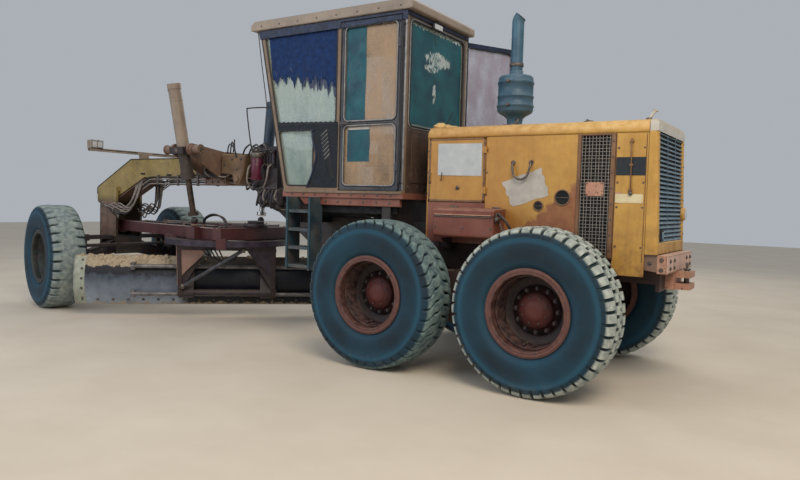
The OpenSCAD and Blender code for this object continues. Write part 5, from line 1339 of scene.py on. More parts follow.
def makeFrontTrim():
    # Windscreen gaskets and wipers on the front wall.
    shape = Shape()
    lean = math.atan2(0.39, roofZ - cabZ)
    out = Vector((math.cos(lean), 0, -math.sin(lean)))
    for z0, z1 in ((1.66, beltZ - 0.03), (beltZ + 0.03, 3.27)):
        corners = [(-0.551, z0), (0.551, z0), (0.551, z1), (-0.551, z1)]
        outline = softPoly(corners, 0.012, 3)
        points = [(cabFront(z) + 0.001, y, z) for y, z in outline]
        shape.tube(points + points[:2], 0.01, 0, 6, 1)
    for y in (-0.25, 0.25):
        base = Vector((cabFront(3.3), y, 3.292))
        shape.rod(base, base + out * 0.035, 0.018, 1, 10)
        tip = Vector((cabFront(2.62), y + 0.22, 2.62)) + out * 0.022
        shape.tube([base + out * 0.03, (base + tip) / 2 + out * 0.028, tip], 0.006, 1, 6, 5)
        shape.rod(tip + Vector((0.02, -0.02, 0.26)) + out * -0.012,
                  tip + Vector((-0.03, 0.03, -0.22)) - out * 0.008, 0.007, 0, 6)
    for y in np.linspace(-0.5, 0.5, 6):
        shape.nut((cabFront(beltZ), y, beltZ), out, 0.008, 0.005, 2)
        shape.nut((cabFront(1.632), y, 1.632), out, 0.009, 0.006, 2)
    return shape.make("front_wall_trim", "front_frame", [sealRubber, doorPaint, bolt])


def makeRoof():
    # Pressed ribs along the roof, its drip edges with screws, and the aerial's foot
    shape = Shape()
    for y in (-0.42, -0.21, 0.0, 0.21, 0.42):
        shape.slab([(-1.62, 3.428), (0.18, 3.428), (0.15, 3.44), (-1.59, 3.44)], y - 0.03, y + 0.03, "xz", 0,
                   0.008)
    for side in (1, -1):
        shape.slab([(cabRear - 0.066, 3.334), (0.352, 3.334), (0.356, 3.345), (cabRear - 0.068, 3.345)],
                   side * 0.64 - 0.004, side * 0.64 + 0.004, "xz", 0, 0.002)
        for x in np.linspace(-1.6, 0.2, 8):
            shape.nut((x, side * 0.64, 3.372), (0, side, 0), 0.008, 0.005, 1)
    shape.rod((-0.4, -0.46, 3.43), (-0.4, -0.46, 3.452), 0.045, 2, 20)
    return shape.make("roof_trim", "front_frame", [roofPaint, bolt, sealRubber])


def makeInterior():
    # Two rows of levers with round knobs at the console, and slats on its front
    shape = Shape()
    knob = [(0.0, 0.0), (0.013, 0.004), (0.017, 0.016), (0.013, 0.03), (0.0, 0.035)]
    for side in (1, -1):
        for k in range(4):
            base = Vector((-0.405 + 0.045 * k, side * (0.13 + 0.018 * k), 2.118))
            tip = base + Vector((-0.02 - 0.008 * k, side * 0.03, 0.17 + 0.012 * (k % 2)))
            shape.rod(base, tip, 0.006, 1, 8)
            shape.lathe(knob, tip - Vector((0, 0, 0.006)), (0, 0, 1), 0, 12)
    for z in np.linspace(1.7, 2.0, 5):
        shape.box((-0.505, -0.16, z), (-0.499, 0.16, z + 0.012), 0.002, 2)
    return shape.make("cab_controls", "front_frame", [blackPlate, chrome, sealRubber])


cushions = {  # metres: half sizes, middle, tilt in degrees, places of the sewn channels, height of the crown
    "seat_cushion": ((0.247, 0.247, 0.05), (-1.15, 0, 1.962), 0, (-0.12, -0.04, 0.04, 0.12), 0.016),
    "seat_back": ((0.3, 0.237, 0.05), (-1.459, 0, 2.236), 80, (-0.2, -0.1, 0.0, 0.1, 0.2), 0.01),
}


def makeCushion(name, size, place, tilt, channels, crown):
    # Rings of a rounded square (sine and cosine to the power 0.26), scaled by a profile and lifted by a crown
    # that falls off as a parabola, with sewn channels pressed into the top as Gaussian grooves
    a, b, h = size
    turn = np.linspace(0, math.tau, 72, endpoint=False)
    outX, outY = (np.sign(v) * np.abs(v) ** 0.26 for v in (np.cos(turn), np.sin(turn)))
    pull = 0.965 + 0.035 * np.abs(np.sin(2 * turn))
    bend = np.linspace(0, math.pi, 11)
    reach = np.concatenate([np.linspace(0.04, 0.9, 16), 0.92 + 0.08 * np.sin(bend), [0.85, 0.45, 0.04]])
    level = np.concatenate([np.ones(16), np.cos(bend) * (0.25 + 0.75 * np.abs(np.cos(bend))),
                            [-1, -1, -1]])[:, None]
    x, y = a * reach[:, None] * (outX * pull), b * reach[:, None] * (outY * pull)
    dome = np.clip(1 - (x / a) ** 2, 0, 1) * np.clip(1 - (y / b) ** 2, 0, 1)
    top = (level > 0.6) * np.clip(dome * 6, 0, 1)
    z = h * level + crown * dome * (level > 0)
    for c in channels:
        z = z - 0.01 * np.exp(-((x - c) / 0.009) ** 2) * top
    z = z + 0.0025 * np.sin(x * 47 + 2 * np.sin(y * 23)) * top
    matrix = np.array(Matrix.Translation(place) @ Matrix.Rotation(math.radians(tilt), 4, "Y"))

    def moved(*parts):
        return np.stack(parts, -1) @ matrix[:3, :3].T + matrix[:3, 3]

    points = moved(x, y, z)
    shape = Shape()
    shape.grid(points, 0, wrapV=True)
    for end, flip in ((points[0], True), (points[-1], False)):
        shape.grid([end, np.broadcast_to(end.mean(0), end.shape)], 0, wrapV=True, flip=flip)
    for height in (0.45, -0.45):
        welt = moved(a * 0.985 * outX * pull, b * 0.985 * outY * pull, np.full(72, height * h))
        shape.tube(np.concatenate([welt[::3], welt[:1]]), 0.005, 1, 6, 3, caps=False)
    piece = shape.make(name, "front_frame", [vinyl, sealRubber], "seat")
    mergePoints(piece)
    return piece


def makeSeat():
    # Suspension box with its bellows, and two vinyl cushions on it
    for name, look in cushions.items():
        makeCushion(name, *look)
    shape = Shape()
    shape.box((-1.35, -0.15, 1.6003), (-0.95, 0.15, 1.64), 0.006, 0)
    for z in np.linspace(1.655, 1.86, 8):
        shape.box((-1.335, -0.138, z - 0.014), (-0.965, 0.138, z + 0.014), 0.011, 1)
    shape.box((-1.38, -0.225, 1.878), (-0.92, 0.225, 1.913), 0.008, 0)
    return shape.make("seat_box", "front_frame", [darkSteel, sealRubber], "seat")


strip = {"rows": 44, "cols": 12, "x": -1.905, "z": 2.238, "left": 0.455, "length": 0.52}  # metres and counts


def makeHoodRag():
    # Crumpled foam: rings along the hood's edge, their radius swelled by two sines and roughened by chance
    shape = Shape()
    random.seed(11)
    rows, cols = strip["rows"], strip["cols"]
    points = []
    for i in range(rows + 1):
        t = i / rows
        swell = 0.5 + 0.5 * math.sin(17 * t) * math.sin(41 * t + 1)
        r = (0.024 + 0.016 * swell) * min(1, 8 * t + 0.1, 8 * (1 - t) + 0.1)
        q = r * (1 + 0.3 * (np.array([random.random() for _ in range(cols)]) - 0.5))
        a = math.tau * np.arange(cols) / cols
        points.append(np.stack([strip["x"] + 1.5 * q * np.cos(a) + 0.008 * math.sin(31 * t),
                                np.full(cols, strip["left"] - strip["length"] * t),
                                strip["z"] + q * np.sin(a) * 1.1 + 0.008 * swell], -1))
    shape.grid(points, 0, wrapV=True)
    piece = shape.make("hood_edge_foam", "rear_frame", [foam])
    return piece


whitewashedFilm = makeWhitewashedFilm()
# cab enamels: taupe walls gone sooty low down and at the rear, a bleached roof, nearly black door frames
wallPaint = paint("weathered_taupe_cab_paint", "6f5d4b", "85715d", "3f332c", rust="6e432c", chipFrom=0.66,
                  lowFrom=2.0, dents=1.5, lowTo=1.5)
rearWallPaint = paint("sooty_rear_wall_paint", "4a3a32", "624c3d", "17141a", rust="4a2c20", rustDark="120f14",
                      dust="7a695a", chipFrom=0.66, film=0.15, lowFrom=2.15, lowTo=1.75, lowRust=1.2,
                      mottle=0.6, runs=0.5)
roofPaint = paint("sun_bleached_roof_paint", "84776a", "9c8e7f", "5f5449", rust="5b4032", dust="b5a690",
                  chipFrom=0.7, film=0.3, dents=1.0)
doorPaint = paint("dark_door_frame_paint", "1b212c", "323a48", "0b0d13", rust="5a4036", dust="9a9084",
                  chipFrom=0.68)
# trims: half matt, dulled by dust
navyTrim = plain("navy_gutter_paint", "0c1428", "1d2c4c", 80, dust=0.2)
blueDark = plain("dark_blue_inner_panel", "0a1019", "131e2b", 60, 0.75, bump=0.3, dust=0.15)
ribPaint = plain("ribbed_grey_panel", "23272e", "3a4048", 40, 0.6, bump=0.3, dust=0.3)
# pale grey trim, also a painted highlight on the door panes' gaskets and down the rear door post
paleTrimAndHighlight = plain("pale_trim_and_painted_highlight", "74787d", "9b9d9d", 50, bump=0.3, dust=0.2)
# cotton ends greyer than the cloth, and matt, open-celled foam
clothFray = plain("frayed_grey_cloth_threads", "2b3447", "56607a", 20, 0.9)
foam = plain("sun_yellowed_foam", "c9a468", "e0c48c", 35, 0.95, bump=1.2, grain=6.0, dust=0.2)
# left door glass: a tan film over nearly all of it, a painted reflection
tanReflectionGlass = makeGlass("door_glass_with_painted_tan_reflection", "b09473", 0.92, film="a98b69")
lilacGlass = makeGlass("lilac_filmed_door_glass", "9a90a2", 0.85, film="9b90a0")
makeDoorTrim(1)
makeDoorTrim(-1)
makeCabWalls()
makeWindowCloth()
makeRearFilm()
makeFrontTrim()
makeRoof()
makeInterior()
makeSeat()
makeHoodRag()
print("cab made")


bladeTurn = Matrix.Translation((circleX, 0, 0)) @ Matrix.Rotation(bladeAngle, 4, "Z")


def makeBladeMaterial():
    # Oiled, scoured steel on the blade's back, with earth caked along its top and foot; painted shade under
    # the top turns to a blue-grey sheen that is a painted sky reflection towards the foot, a painted shadow
    # band lies under the top's earth, and the far part is painted shade in dark navy
    net = Net("blade_back_painted_shading_and_earth")
    up, along = (net.add("attribute", attribute_name=key) for key in ("up", "along"))
    ragged = net.add("add", up, net.patches(90, 0.25, 0.75, 5, 0.65, least=-0.07, full=0.07))
    # painted shade under the top, fading to a painted sky reflection, pale blue-grey, towards the foot
    sheen = net.add("mix", net.add("ramp", ragged, 0.66, 0.12), rgb("161b28"), rgb("9aa7b8"))
    scour = net.patches(260, 0.45, 0.7, 4, 0.5, least=0, full=0.45, stretch=(1, 1, 0.4))
    sheen = net.add("mix", scour, sheen, rgb("55606f"))
    # dark band just under the top's earth: painted shadow
    dark = net.add("mix", net.add("ramp", ragged, 0.6, 0.66), sheen, rgb("1c1b24"))
    # dark navy over the far part of the blade: painted shade
    navy = net.add("mix", net.patches(200, 0.4, 0.7, 5), rgb("080e1a"), rgb("151d2b"))
    body = net.add("mix", net.add("ramp", along, 0.62, 0.48), dark, navy)
    fleck = net.add("times", net.patches(35, 0.6, 0.7, 4, 0.7), 0.3)
    body = net.add("mix", fleck, body, rgb("5d5348"))
    earth = net.add("mix", net.patches(40, 0.3, 0.7, 4), rgb("97876f"), rgb("b5a58b"))
    top = net.add("times", net.add("ramp", ragged, 0.79, 0.81), net.add("ramp", along, 0.3, 0.55, 0.25, 1.0))
    caked = net.add("most", top, net.add("times", net.add("ramp", ragged, 0.05, 0.03), 0.8))
    lumps = net.add("bump", 1, 2.5 / 1000, net.add("noise", net.place, 1000 / 14, 4, 0.6))
    return net.finish(net.add("mix", caked, body, earth), net.add("ramp", caked, 0, 1, 0.38, 0.92), lumps,
                      net.add("ramp", caked, 0, 1, 0.25, 0.0))


blade = {  # metres, in the blade's own turned frame: the arc's centre and radius, half length, foot and height
    "y": -0.36, "z": 0.455, "r": 0.442, "half": 1.828, "foot": 0.152, "height": 0.606,
    "cols": 90, "rows": 22, "lumps": 150, "edges": ((-1.8, -0.62), (-0.61, 0.6), (0.61, 1.8)),
}


def arcY(more, z):
    # reach of the blade's arc, made thicker by more, at a height
    return blade["y"] + np.sqrt((blade["r"] + more) ** 2 - (z - blade["z"]) ** 2)


def arc(more, low, high, count):
    # points round the blade's arc between two angles
    a, r = np.linspace(low, high, count), blade["r"] + more
    return list(zip(blade["y"] + r * np.cos(a), blade["z"] + r * np.sin(a)))


def makeBlade():
    # Skins: y = centre + root of (radius squared - height squared), over length and height, front and back.
    # Lumps of earth by chance on the upper rim, cutting edge with its bolts, end plates and rail bolts.
    shape = Shape()
    shape.matrix = bladeTurn
    cols, rows = blade["cols"], blade["rows"]
    x, up = np.meshgrid(np.linspace(-blade["half"], blade["half"], cols + 1), np.arange(rows + 1) / rows,
                        indexing="ij")
    z = blade["foot"] + blade["height"] * np.arange(rows + 1) / rows + 0 * x
    for mark, more in ((0, 0.0015), (1, -0.0235)):
        shape.grid(np.stack([x, arcY(more, z), z], -1), mark, flip=mark == 1)
    ups, alongs = np.tile(up.ravel(), 2), np.tile(x.ravel(), 2)
    random.seed(23)
    for k in range(blade["lumps"]):
        x = random.uniform(0.6, 1.78) if k % 3 else random.uniform(-1.75, 0.55)
        z = 0.752 - random.random() ** 2 * 0.09
        a, b = random.uniform(0.01, 0.034), random.uniform(0.003, 0.008)
        shape.lathe([(0.0, -b), (a * 0.7, -b * 0.6), (a, 0.0), (a * 0.75, b * 0.6), (0.0, b)],
                    (x, arcY(0.001, z), min(z, 0.756)), (0.1, 1, random.uniform(-0.2, 0.5)), 2, 7)
    # cutting edge in three lengths, with square-neck bolts
    low, high = arcY(-0.022, 0.152), arcY(-0.022, 0.262)
    section = [(low - 0.016, 0.15), (low + 0.001, 0.15), (high + 0.001, 0.262), (high - 0.014, 0.262)]
    for x0, x1 in blade["edges"]:
        shape.slab(section, x0, x1, "yz", 3, 0.003)
        for x in np.linspace(x0 + 0.06, x1 - 0.06, 7):
            shape.nut((x, arcY(0.002, 0.215), 0.215), (0, 1, -0.6), 0.013, 0.012, 4)
    # end plates, a strip round the back beside each, and the bolts of the rails' brackets
    outline = [(y, min(max(z, 0.152), 0.758)) for y, z in arc(0.01, -0.735, 0.735, 14) + arc(-0.06, 0.8, -0.8,
            14)]
    back = arc(0.006, -0.7, 0.7, 14)
    for s in (1, -1):
        near, far = sorted((s * 1.826, s * 1.816))
        shape.slab(outline, near, far, "yz", 5, 0.003)
        shape.grid([[(s * x, y, z) for y, z in back] for x in (1.7, 1.826)], 5, flip=s < 0)
        shape.grid([[(s * 1.7, y - dy, z) for y, z in back] for dy in (0.005, 0)], 5, flip=s < 0)
        for z in (0.24, 0.36, 0.48, 0.6, 0.7):
            shape.nut((s * 1.735, arcY(0.006, z), z), (0, 1, z - blade["z"]), 0.012, 0.01, 4)
    for s in (1, -1):
        for z in (0.3, 0.64):
            for x in (1.118, 1.152):
                for dz in (0.03, -0.03):
                    shape.nut((s * x, 0.125, z + dz), (0, 1, 0), 0.009, 0.01, 4)
    rest = shape.count - len(ups)
    extra = {"up": np.append(ups, np.full(rest, 0.5)), "along": np.append(alongs, np.ones(rest))}
    return shape.make("blade_skin", "moldboard",
                      [bladeBack, worn, earthLump, bladeEdge, bolt, bladeEnd], extra=extra)


circleTrim = {  # metres, in the blade's turned frame
    "arm": [(0.168, 0.37), (0.168, 0.695), (-0.03, 0.926), (0.425, 0.926), (0.255, 0.345)],
    "ring": [(0.7655, 0.934), (0.7675, 0.934), (0.7675, 0.996), (0.7655, 0.996)],
    "ringBolts": 28, "boltReach": 0.7, "hoses": 5,
}


def makeCircleTrim():
    # Plates on the arms, a strut, the ring's wear strip, bolts and hoses. Each gusset is a grid whose inner
    # edge
    # moves in by a smooth step of the height.
    shape = Shape()
    shape.matrix = bladeTurn
    for x0, x1 in ((0.58, 0.583), (-0.583, -0.58)):
        shape.slab(circleTrim["arm"], x0, x1, "yz", 0 if x0 > 0 else 1, 0.001)
    for s in (1, -1):
        for y, z in ((0.2, 0.76), (0.32, 0.86), (0.1, 0.86), (0.22, 0.56)):
            shape.nut((s * 0.583, y, z), (s, 0, 0), 0.012, 0.01, 2)
        shape.rod((s * 0.5805, 0.2, 0.33), (s * 0.594, 0.2, 0.33), 0.046, 2, 18)  # keeper on the tip pin
        if s > 0:  # strut from the arm's foot up to the ring
            foot, head = Vector((0.52, 0.31, 0.42)), Vector((-0.21, 0.64, 0.895))
            shape.rod(foot, head, 0.022, 3, 12)
            for p in (foot, head):
                shape.rod(p - Vector((0.02, 0, 0)), p + Vector((0.02, 0, 0)), 0.034, 2, 12)
    for k in range(circleTrim["ringBolts"]):
        a = math.tau * k / circleTrim["ringBolts"]
        reach = circleTrim["boltReach"]
        shape.nut((reach * math.cos(a), reach * math.sin(a), 0.9995), (0, 0, 1), 0.01, 0.007, 2)
    # gusset along each arm's sloping edge, facing the rear
    for s in (1, -1):
        mark = 0 if s > 0 else 4
        z = np.linspace(0.925, 0.42, 12)[:, None]
        inward = 0.56 - 0.33 * smooth01((z - 0.46) / 0.465)
        x = 0.588 + (inward - 0.588) * np.linspace(0, 1, 5)
        front = np.stack(np.broadcast_arrays(s * x, 0.262 + (z - 0.345) * 0.2926, z), -1)
        rear = front - (0, 0.006, 0)
        shape.grid(front, mark, False, flip=s > 0)
        shape.grid(rear, mark, False, flip=s < 0)
        shape.grid([front[:, -1], rear[:, -1]], mark, False, flip=s > 0)
    shape.lathe(circleTrim["ring"], (0, 0, 0), (0, 0, 1), 4, 96, False, True)
    for k in range(circleTrim["hoses"]):
        shape.tube([(0.3 - 0.05 * k, 0.46, 0.905), (0.2 - 0.05 * k, 0.47, 0.8 - 0.02 * k),
                    (0.02 - 0.03 * k, 0.48, 0.76), (-0.16, 0.47, 0.84 + 0.01 * k),
                    (-0.24 - 0.02 * k, 0.46, 0.905)], 0.009, 5, 6, 6)
    return shape.make("circle_trim", "turning_circle",
                      [armPink, redBrown, bolt, strutPaint, purpleSteel, hose])


def makeDrawbarTrim():
    # Weld lines, hose arch, motor housing and ball caps on the drawbar.
    shape = Shape()
    random.seed(31)
    top = drawbarTop
    # gear housing and motor over the rear cross member
    shape.rod((0.86, 0.0, top), (0.86, 0.0, top + 0.05), 0.15, 0, 24)
    shape.box((0.79, -0.085, top + 0.045), (0.93, 0.085, top + 0.085), 0.012, 0)
    for a in np.linspace(0, 2 * math.pi, 9)[:-1]:
        shape.nut((0.86 + 0.128 * math.cos(a), 0.128 * math.sin(a), top + 0.05), (0, 0, 1), 0.01, 0.009, 2)
    # hose arch beside the left member, and runs along both members
    for k, y in enumerate((0.3, 0.322)):
        shape.tube([(1.44, y, top + 0.004), (1.425, y, top + 0.08), (1.34, y, top + 0.125 + 0.01 * k),
                    (1.23, y, top + 0.14 + 0.01 * k), (1.11, y, top + 0.115), (1.05, y, top + 0.055),
                    (1.03, y, top + 0.004)], 0.011, 3, 8, 6)
    for side in (1, -1):
        for k in range(4):
            w = 0.01 * k
            path = []
            for t in np.linspace(0, 1, 9):
                x = 2.7 - 1.75 * t
                y = side * (0.156 + 0.339 * t + w)
                path.append((x + 0.01 * random.random(), y + 0.008 * random.random(),
                             top + 0.011 + 0.009 * random.random()))
            shape.tube(path, 0.009, 3 if k % 2 else 4, 6, 4)
        for x in (2.75, 2.15, 1.7, 1.25):
            y = side * (0.07 + 0.455 * (3.3 - x) / 2.35 - 0.012)
            shape.box((x - 0.014, y - 0.036, top), (x + 0.014, y + 0.036, top + 0.026), 0.003, 1)
        # pale line on the member's upper outer edge: a painted highlight
        shape.rod((3.34, side * 0.086, top - 0.004), (0.86, side * 0.618, top - 0.004), 0.006, 5, 6)
        # gusset and bolts where the member meets the cross members
        for x in (0.86, 1.32):
            for dx in (-0.045, 0.045):
                shape.nut((x + dx, side * 0.56, top), (0, 0, 1), 0.012, 0.01, 2)
        bx, by, bz = liftBall
        shape.lathe([(0.03, -0.07), (0.04, -0.066), (0.04, -0.048), (0.03, -0.044)], (bx, side * by, bz),
                    (0, 0, 1), 1, 20, closed=True)
        # grease over the ball
        t = np.linspace(-0.6, 0.5 * math.pi, 12)
        shape.lathe(list(zip(0.0428 * np.cos(t), 0.0428 * np.sin(t))), (bx, side * by, bz), (0, 0, 1), 0, 24)
    for a in guideAngles:
        c, s = math.cos(math.radians(a)), math.sin(math.radians(a))
        for r in (0.7, 0.77):
            for t in (-0.03, 0.03):
                shape.nut((circleX + r * c - t * s, r * s + t * c, 1.0303), (0, 0, 1), 0.01, 0.008, 2)
    return shape.make("drawbar_trim", "drawbar",
                      [darkSteel, castBrown, bolt, hose, hoseBright, edgeHighlight])


def makeBeamTrim():
    # Weld lines, brown plates under the gooseneck, hose bundle at the nose and rust slots, near black inside
    # as painted shade.
    shape = Shape()
    random.seed(41)
    for side in (1, -1):
        y = side * 0.1505
        edge = [(0.75, 1.94), (1.15, 2.005), (3.1, 2.005), (3.835, 1.626), (3.86, 1.6), (3.86, 1.52)]
        for (xa, za), (xb, zb) in zip(edge, edge[1:]):
            shape.rod((xa, y, za - 0.004), (xb, y, zb - 0.004), 0.007, 0, 6)
        # slots on the beam's side, near black: painted shade in them
        for x, z, w in ((2.84, 1.79, 0.045), (2.3, 1.775, 0.05), (1.78, 1.775, 0.045)):
            shape.box((x - w, y, z), (x + w, y + side * 0.003, z + 0.022), 0.001, 1)
        # side plates on the nose's foot
        n = 12
        ragged = [(3.34 + 0.352 * t, 1.4 + 0.02 * random.random()) for t in np.linspace(0, 1, n)]
        shape.slab([(3.34, 0.925)] + ragged + [(3.692, 0.925)], side * 0.2105 - (0 if side > 0 else 0.003),
                   side * 0.2105 + (0.003 if side > 0 else 0), "xz", 2, 0.001)
        for x in (3.37, 3.66):
            for z in (0.99, 1.11, 1.23, 1.34):
                shape.nut((x, side * 0.213, z), (0, side, 0), 0.011, 0.009, 3)
        # hoses that hang from the gooseneck to the nose's foot
        for k in range(8):
            a = Vector((3.7 - 0.055 * k, side * (0.165 + 0.008 * (k % 3)), 1.5 - 0.03 * k))
            b = Vector((2.96 - 0.02 * k, side * (0.16 + 0.01 * (k % 2)), 1.64 + 0.01 * k))
            low = 1.245 + 0.028 * ((k * 5) % 4)
            shape.tube([a, a + Vector((-0.03, side * 0.05, -0.1)),
                        (3.42 - 0.03 * k, side * (0.255 + 0.01 * (k % 3)), low + 0.06),
                        (3.22 - 0.03 * k, side * (0.235 + 0.012 * (k % 2)), low),
                        (3.05 - 0.02 * k, side * 0.205, low + 0.12), b], 0.01, 4 if k % 4 else 5, 7, 6)
            shape.rod(b - Vector((0, side * 0.012, 0)), b + Vector((0, side * 0.012, 0)), 0.015, 3, 8)
    shape.slab([(2.815, 1.733), (3.445, 1.434), (3.44, 1.423), (2.805, 1.724)], -0.158, 0.158, "xz", 2, 0.003)
    for t in np.linspace(0.1, 0.9, 5):
        for y in (-0.13, 0.13):
            shape.nut((2.82 + 0.62 * t, y, 1.722 - 0.295 * t), (-0.43, 0, -0.9), 0.01, 0.008, 3)
    # skirt plates under the cab floor, near black as painted shade
    for low in (0.3, -0.306):
        shape.slab([(-1.3, 1.3), (-0.96, 1.38), (-0.96, 1.556), (-1.3, 1.556)], low, low + 0.006, "xz", 1,
                   0.001)
    for z in np.linspace(0.98, 1.5, 9):
        shape.box((3.7005, -0.2, z), (3.7105, 0.2, z + 0.03), 0.003, 2)
    # hydraulic pipes along the beam's left and right sides
    for side in (1, -1):
        for k in range(4):
            z = 1.69 + 0.03 * k
            y = side * 0.166
            shape.tube([(0.56, y, z), (1.1, y, z), (1.14, y, z), (1.16, y, z + 0.01)], 0.009,
                       5 if k % 2 else 4, 6, 3)
            shape.tube([(1.56, y, z - 0.02), (1.62, y, z - 0.02), (2.56, y, z - 0.02), (2.7, y, z - 0.04),
                        (2.82, y, z - 0.1)], 0.009, 5 if k % 2 else 4, 6, 3)
        for x in (1.72, 2.1, 2.5):
            shape.box((x - 0.016, side * 0.15, 1.655), (x + 0.016, side * 0.18, 1.785), 0.003, 3)
    return shape.make("beam_trim", "front_frame",
                      [weldDark, sootAndShadeBlack, castBrown, bolt, hoseBright, hose])


def makeSaddleTrim():
    # Round trunnion ends, bolts, tan castings and hose loops round the saddle.
    shape = Shape()
    random.seed(47)
    tx, ty, tz = 1.36, 0.7, 2.06
    for side in (1, -1):
        for s in (1, -1):
            shape.rod((tx + s * 0.184, side * ty, tz), (tx + s * 0.29, side * ty, tz), 0.05, 0, 24)
            shape.rod((tx + s * 0.286, side * ty, tz), (tx + s * 0.3, side * ty, tz), 0.058, 0, 24)
            shape.rod((tx + s * 0.296, side * ty, tz), (tx + s * 0.306, side * ty, tz), 0.024, 1, 12)
            for a in np.linspace(0, 2 * math.pi, 7)[:-1]:
                shape.nut((tx + s * 0.3, side * ty + 0.042 * math.cos(a), tz + 0.042 * math.sin(a)),
                          (s, 0, 0), 0.006, 0.005, 1)
        # bolts and a rib on the saddle's cheek
        for x in (1.2, 1.31, 1.41, 1.52):
            for z in (1.7, 2.02):
                shape.nut((x, side * 0.21, z), (0, side, 0), 0.014, 0.012, 1)
        # tan casting behind the saddle
        shape.slab([(1.16, 2.04), (0.76, 2.02), (0.79, 1.82), (0.87, 1.67), (0.95, 1.66), (0.98, 1.78),
                    (1.16, 1.8)], side * 0.225 - 0.07, side * 0.225 + 0.07, "xz", 2, 0.016)
        shape.rod((0.9, side * 0.296, 1.73), (0.9, side * 0.318, 1.73), 0.036, 0, 16)
        for x, z in ((0.83, 1.97), (0.98, 1.97), (1.1, 1.9), (0.9, 1.85)):
            shape.nut((x, side * 0.295, z), (0, side, 0), 0.013, 0.011, 1)
        # loops of hose over the cheek and up to the barrel's ports
        for k in range(6):
            x = 1.22 + 0.055 * k
            d = 0.012 * (k % 3)
            shape.tube([(x, side * (0.215 + d), 1.99), (x + 0.02, side * (0.27 + d), 1.96),
                        (x + 0.07, side * (0.3 + d), 1.87 - 0.01 * k), (x + 0.02, side * (0.29 + d), 1.78),
                        (x - 0.08, side * (0.26 + d), 1.76), (x - 0.14, side * (0.22 + d), 1.8)], 0.01,
                       3 if k % 3 else 4, 7, 6)
        for k in range(3):
            shape.tube([(1.16 - 0.05 * k, side * 0.2, 2.06), (1.1 - 0.05 * k, side * 0.24, 2.13 + 0.03 * k),
                        (1.0 - 0.03 * k, side * 0.3, 2.15 + 0.02 * k), (0.92, side * 0.31, 2.08),
                        (0.9, side * 0.3, 1.99)], 0.008, 3, 7, 6)
    return shape.make("saddle_trim", "front_frame", [castBrown, bolt, tan, hose, hoseBright])


def makeLiftTrim(side):
    # Collars, gland, ports and a pipe on one lift barrel, along the line from the drawbar's ball to the
    # trunnion
    name = "left" if side > 0 else "right"
    shape = Shape()
    base = Vector((1.36, side * 0.7, 2.06))
    axis = (base - Vector((liftBall[0], side * liftBall[1], liftBall[2]))).normalized()
    r = 0.072
    for d, rr, h in ((0.72, 0.077, 0.022), (0.56, 0.0745, 0.012), (-0.325, 0.08, 0.04),
                     (-0.12, 0.0745, 0.01)):
        shape.lathe([(r - 0.002, 0), (rr, 0.002), (rr, h - 0.002), (r - 0.002, h)], base + axis * d, axis, 0,
                    32)
    shape.lathe([(0.0365, -0.014), (0.056, -0.012), (0.056, 0.004), (0.0365, 0.004)], base - axis * 0.33,
                axis, 1, 24)
    across = axis.cross(Vector((0, 1, 0))).normalized()
    for d in (0.69, -0.27):
        p = base + axis * d
        shape.rod(p - across * 0.07, p - across * 0.1, 0.022, 1, 12)
    top, foot = base + axis * 0.69 - across * 0.094, base + axis * 0.15 - across * 0.086
    shape.tube([top, top - axis * 0.03 - across * 0.006, top - axis * 0.1 - across * 0.004, foot], 0.009, 2,
               8, 6)
    paintOf = barrelTan if side > 0 else barrelBlue
    return shape.make(f"lift_trim_{name}", f"lift_barrel_{name}", [paintOf, bolt, hose])


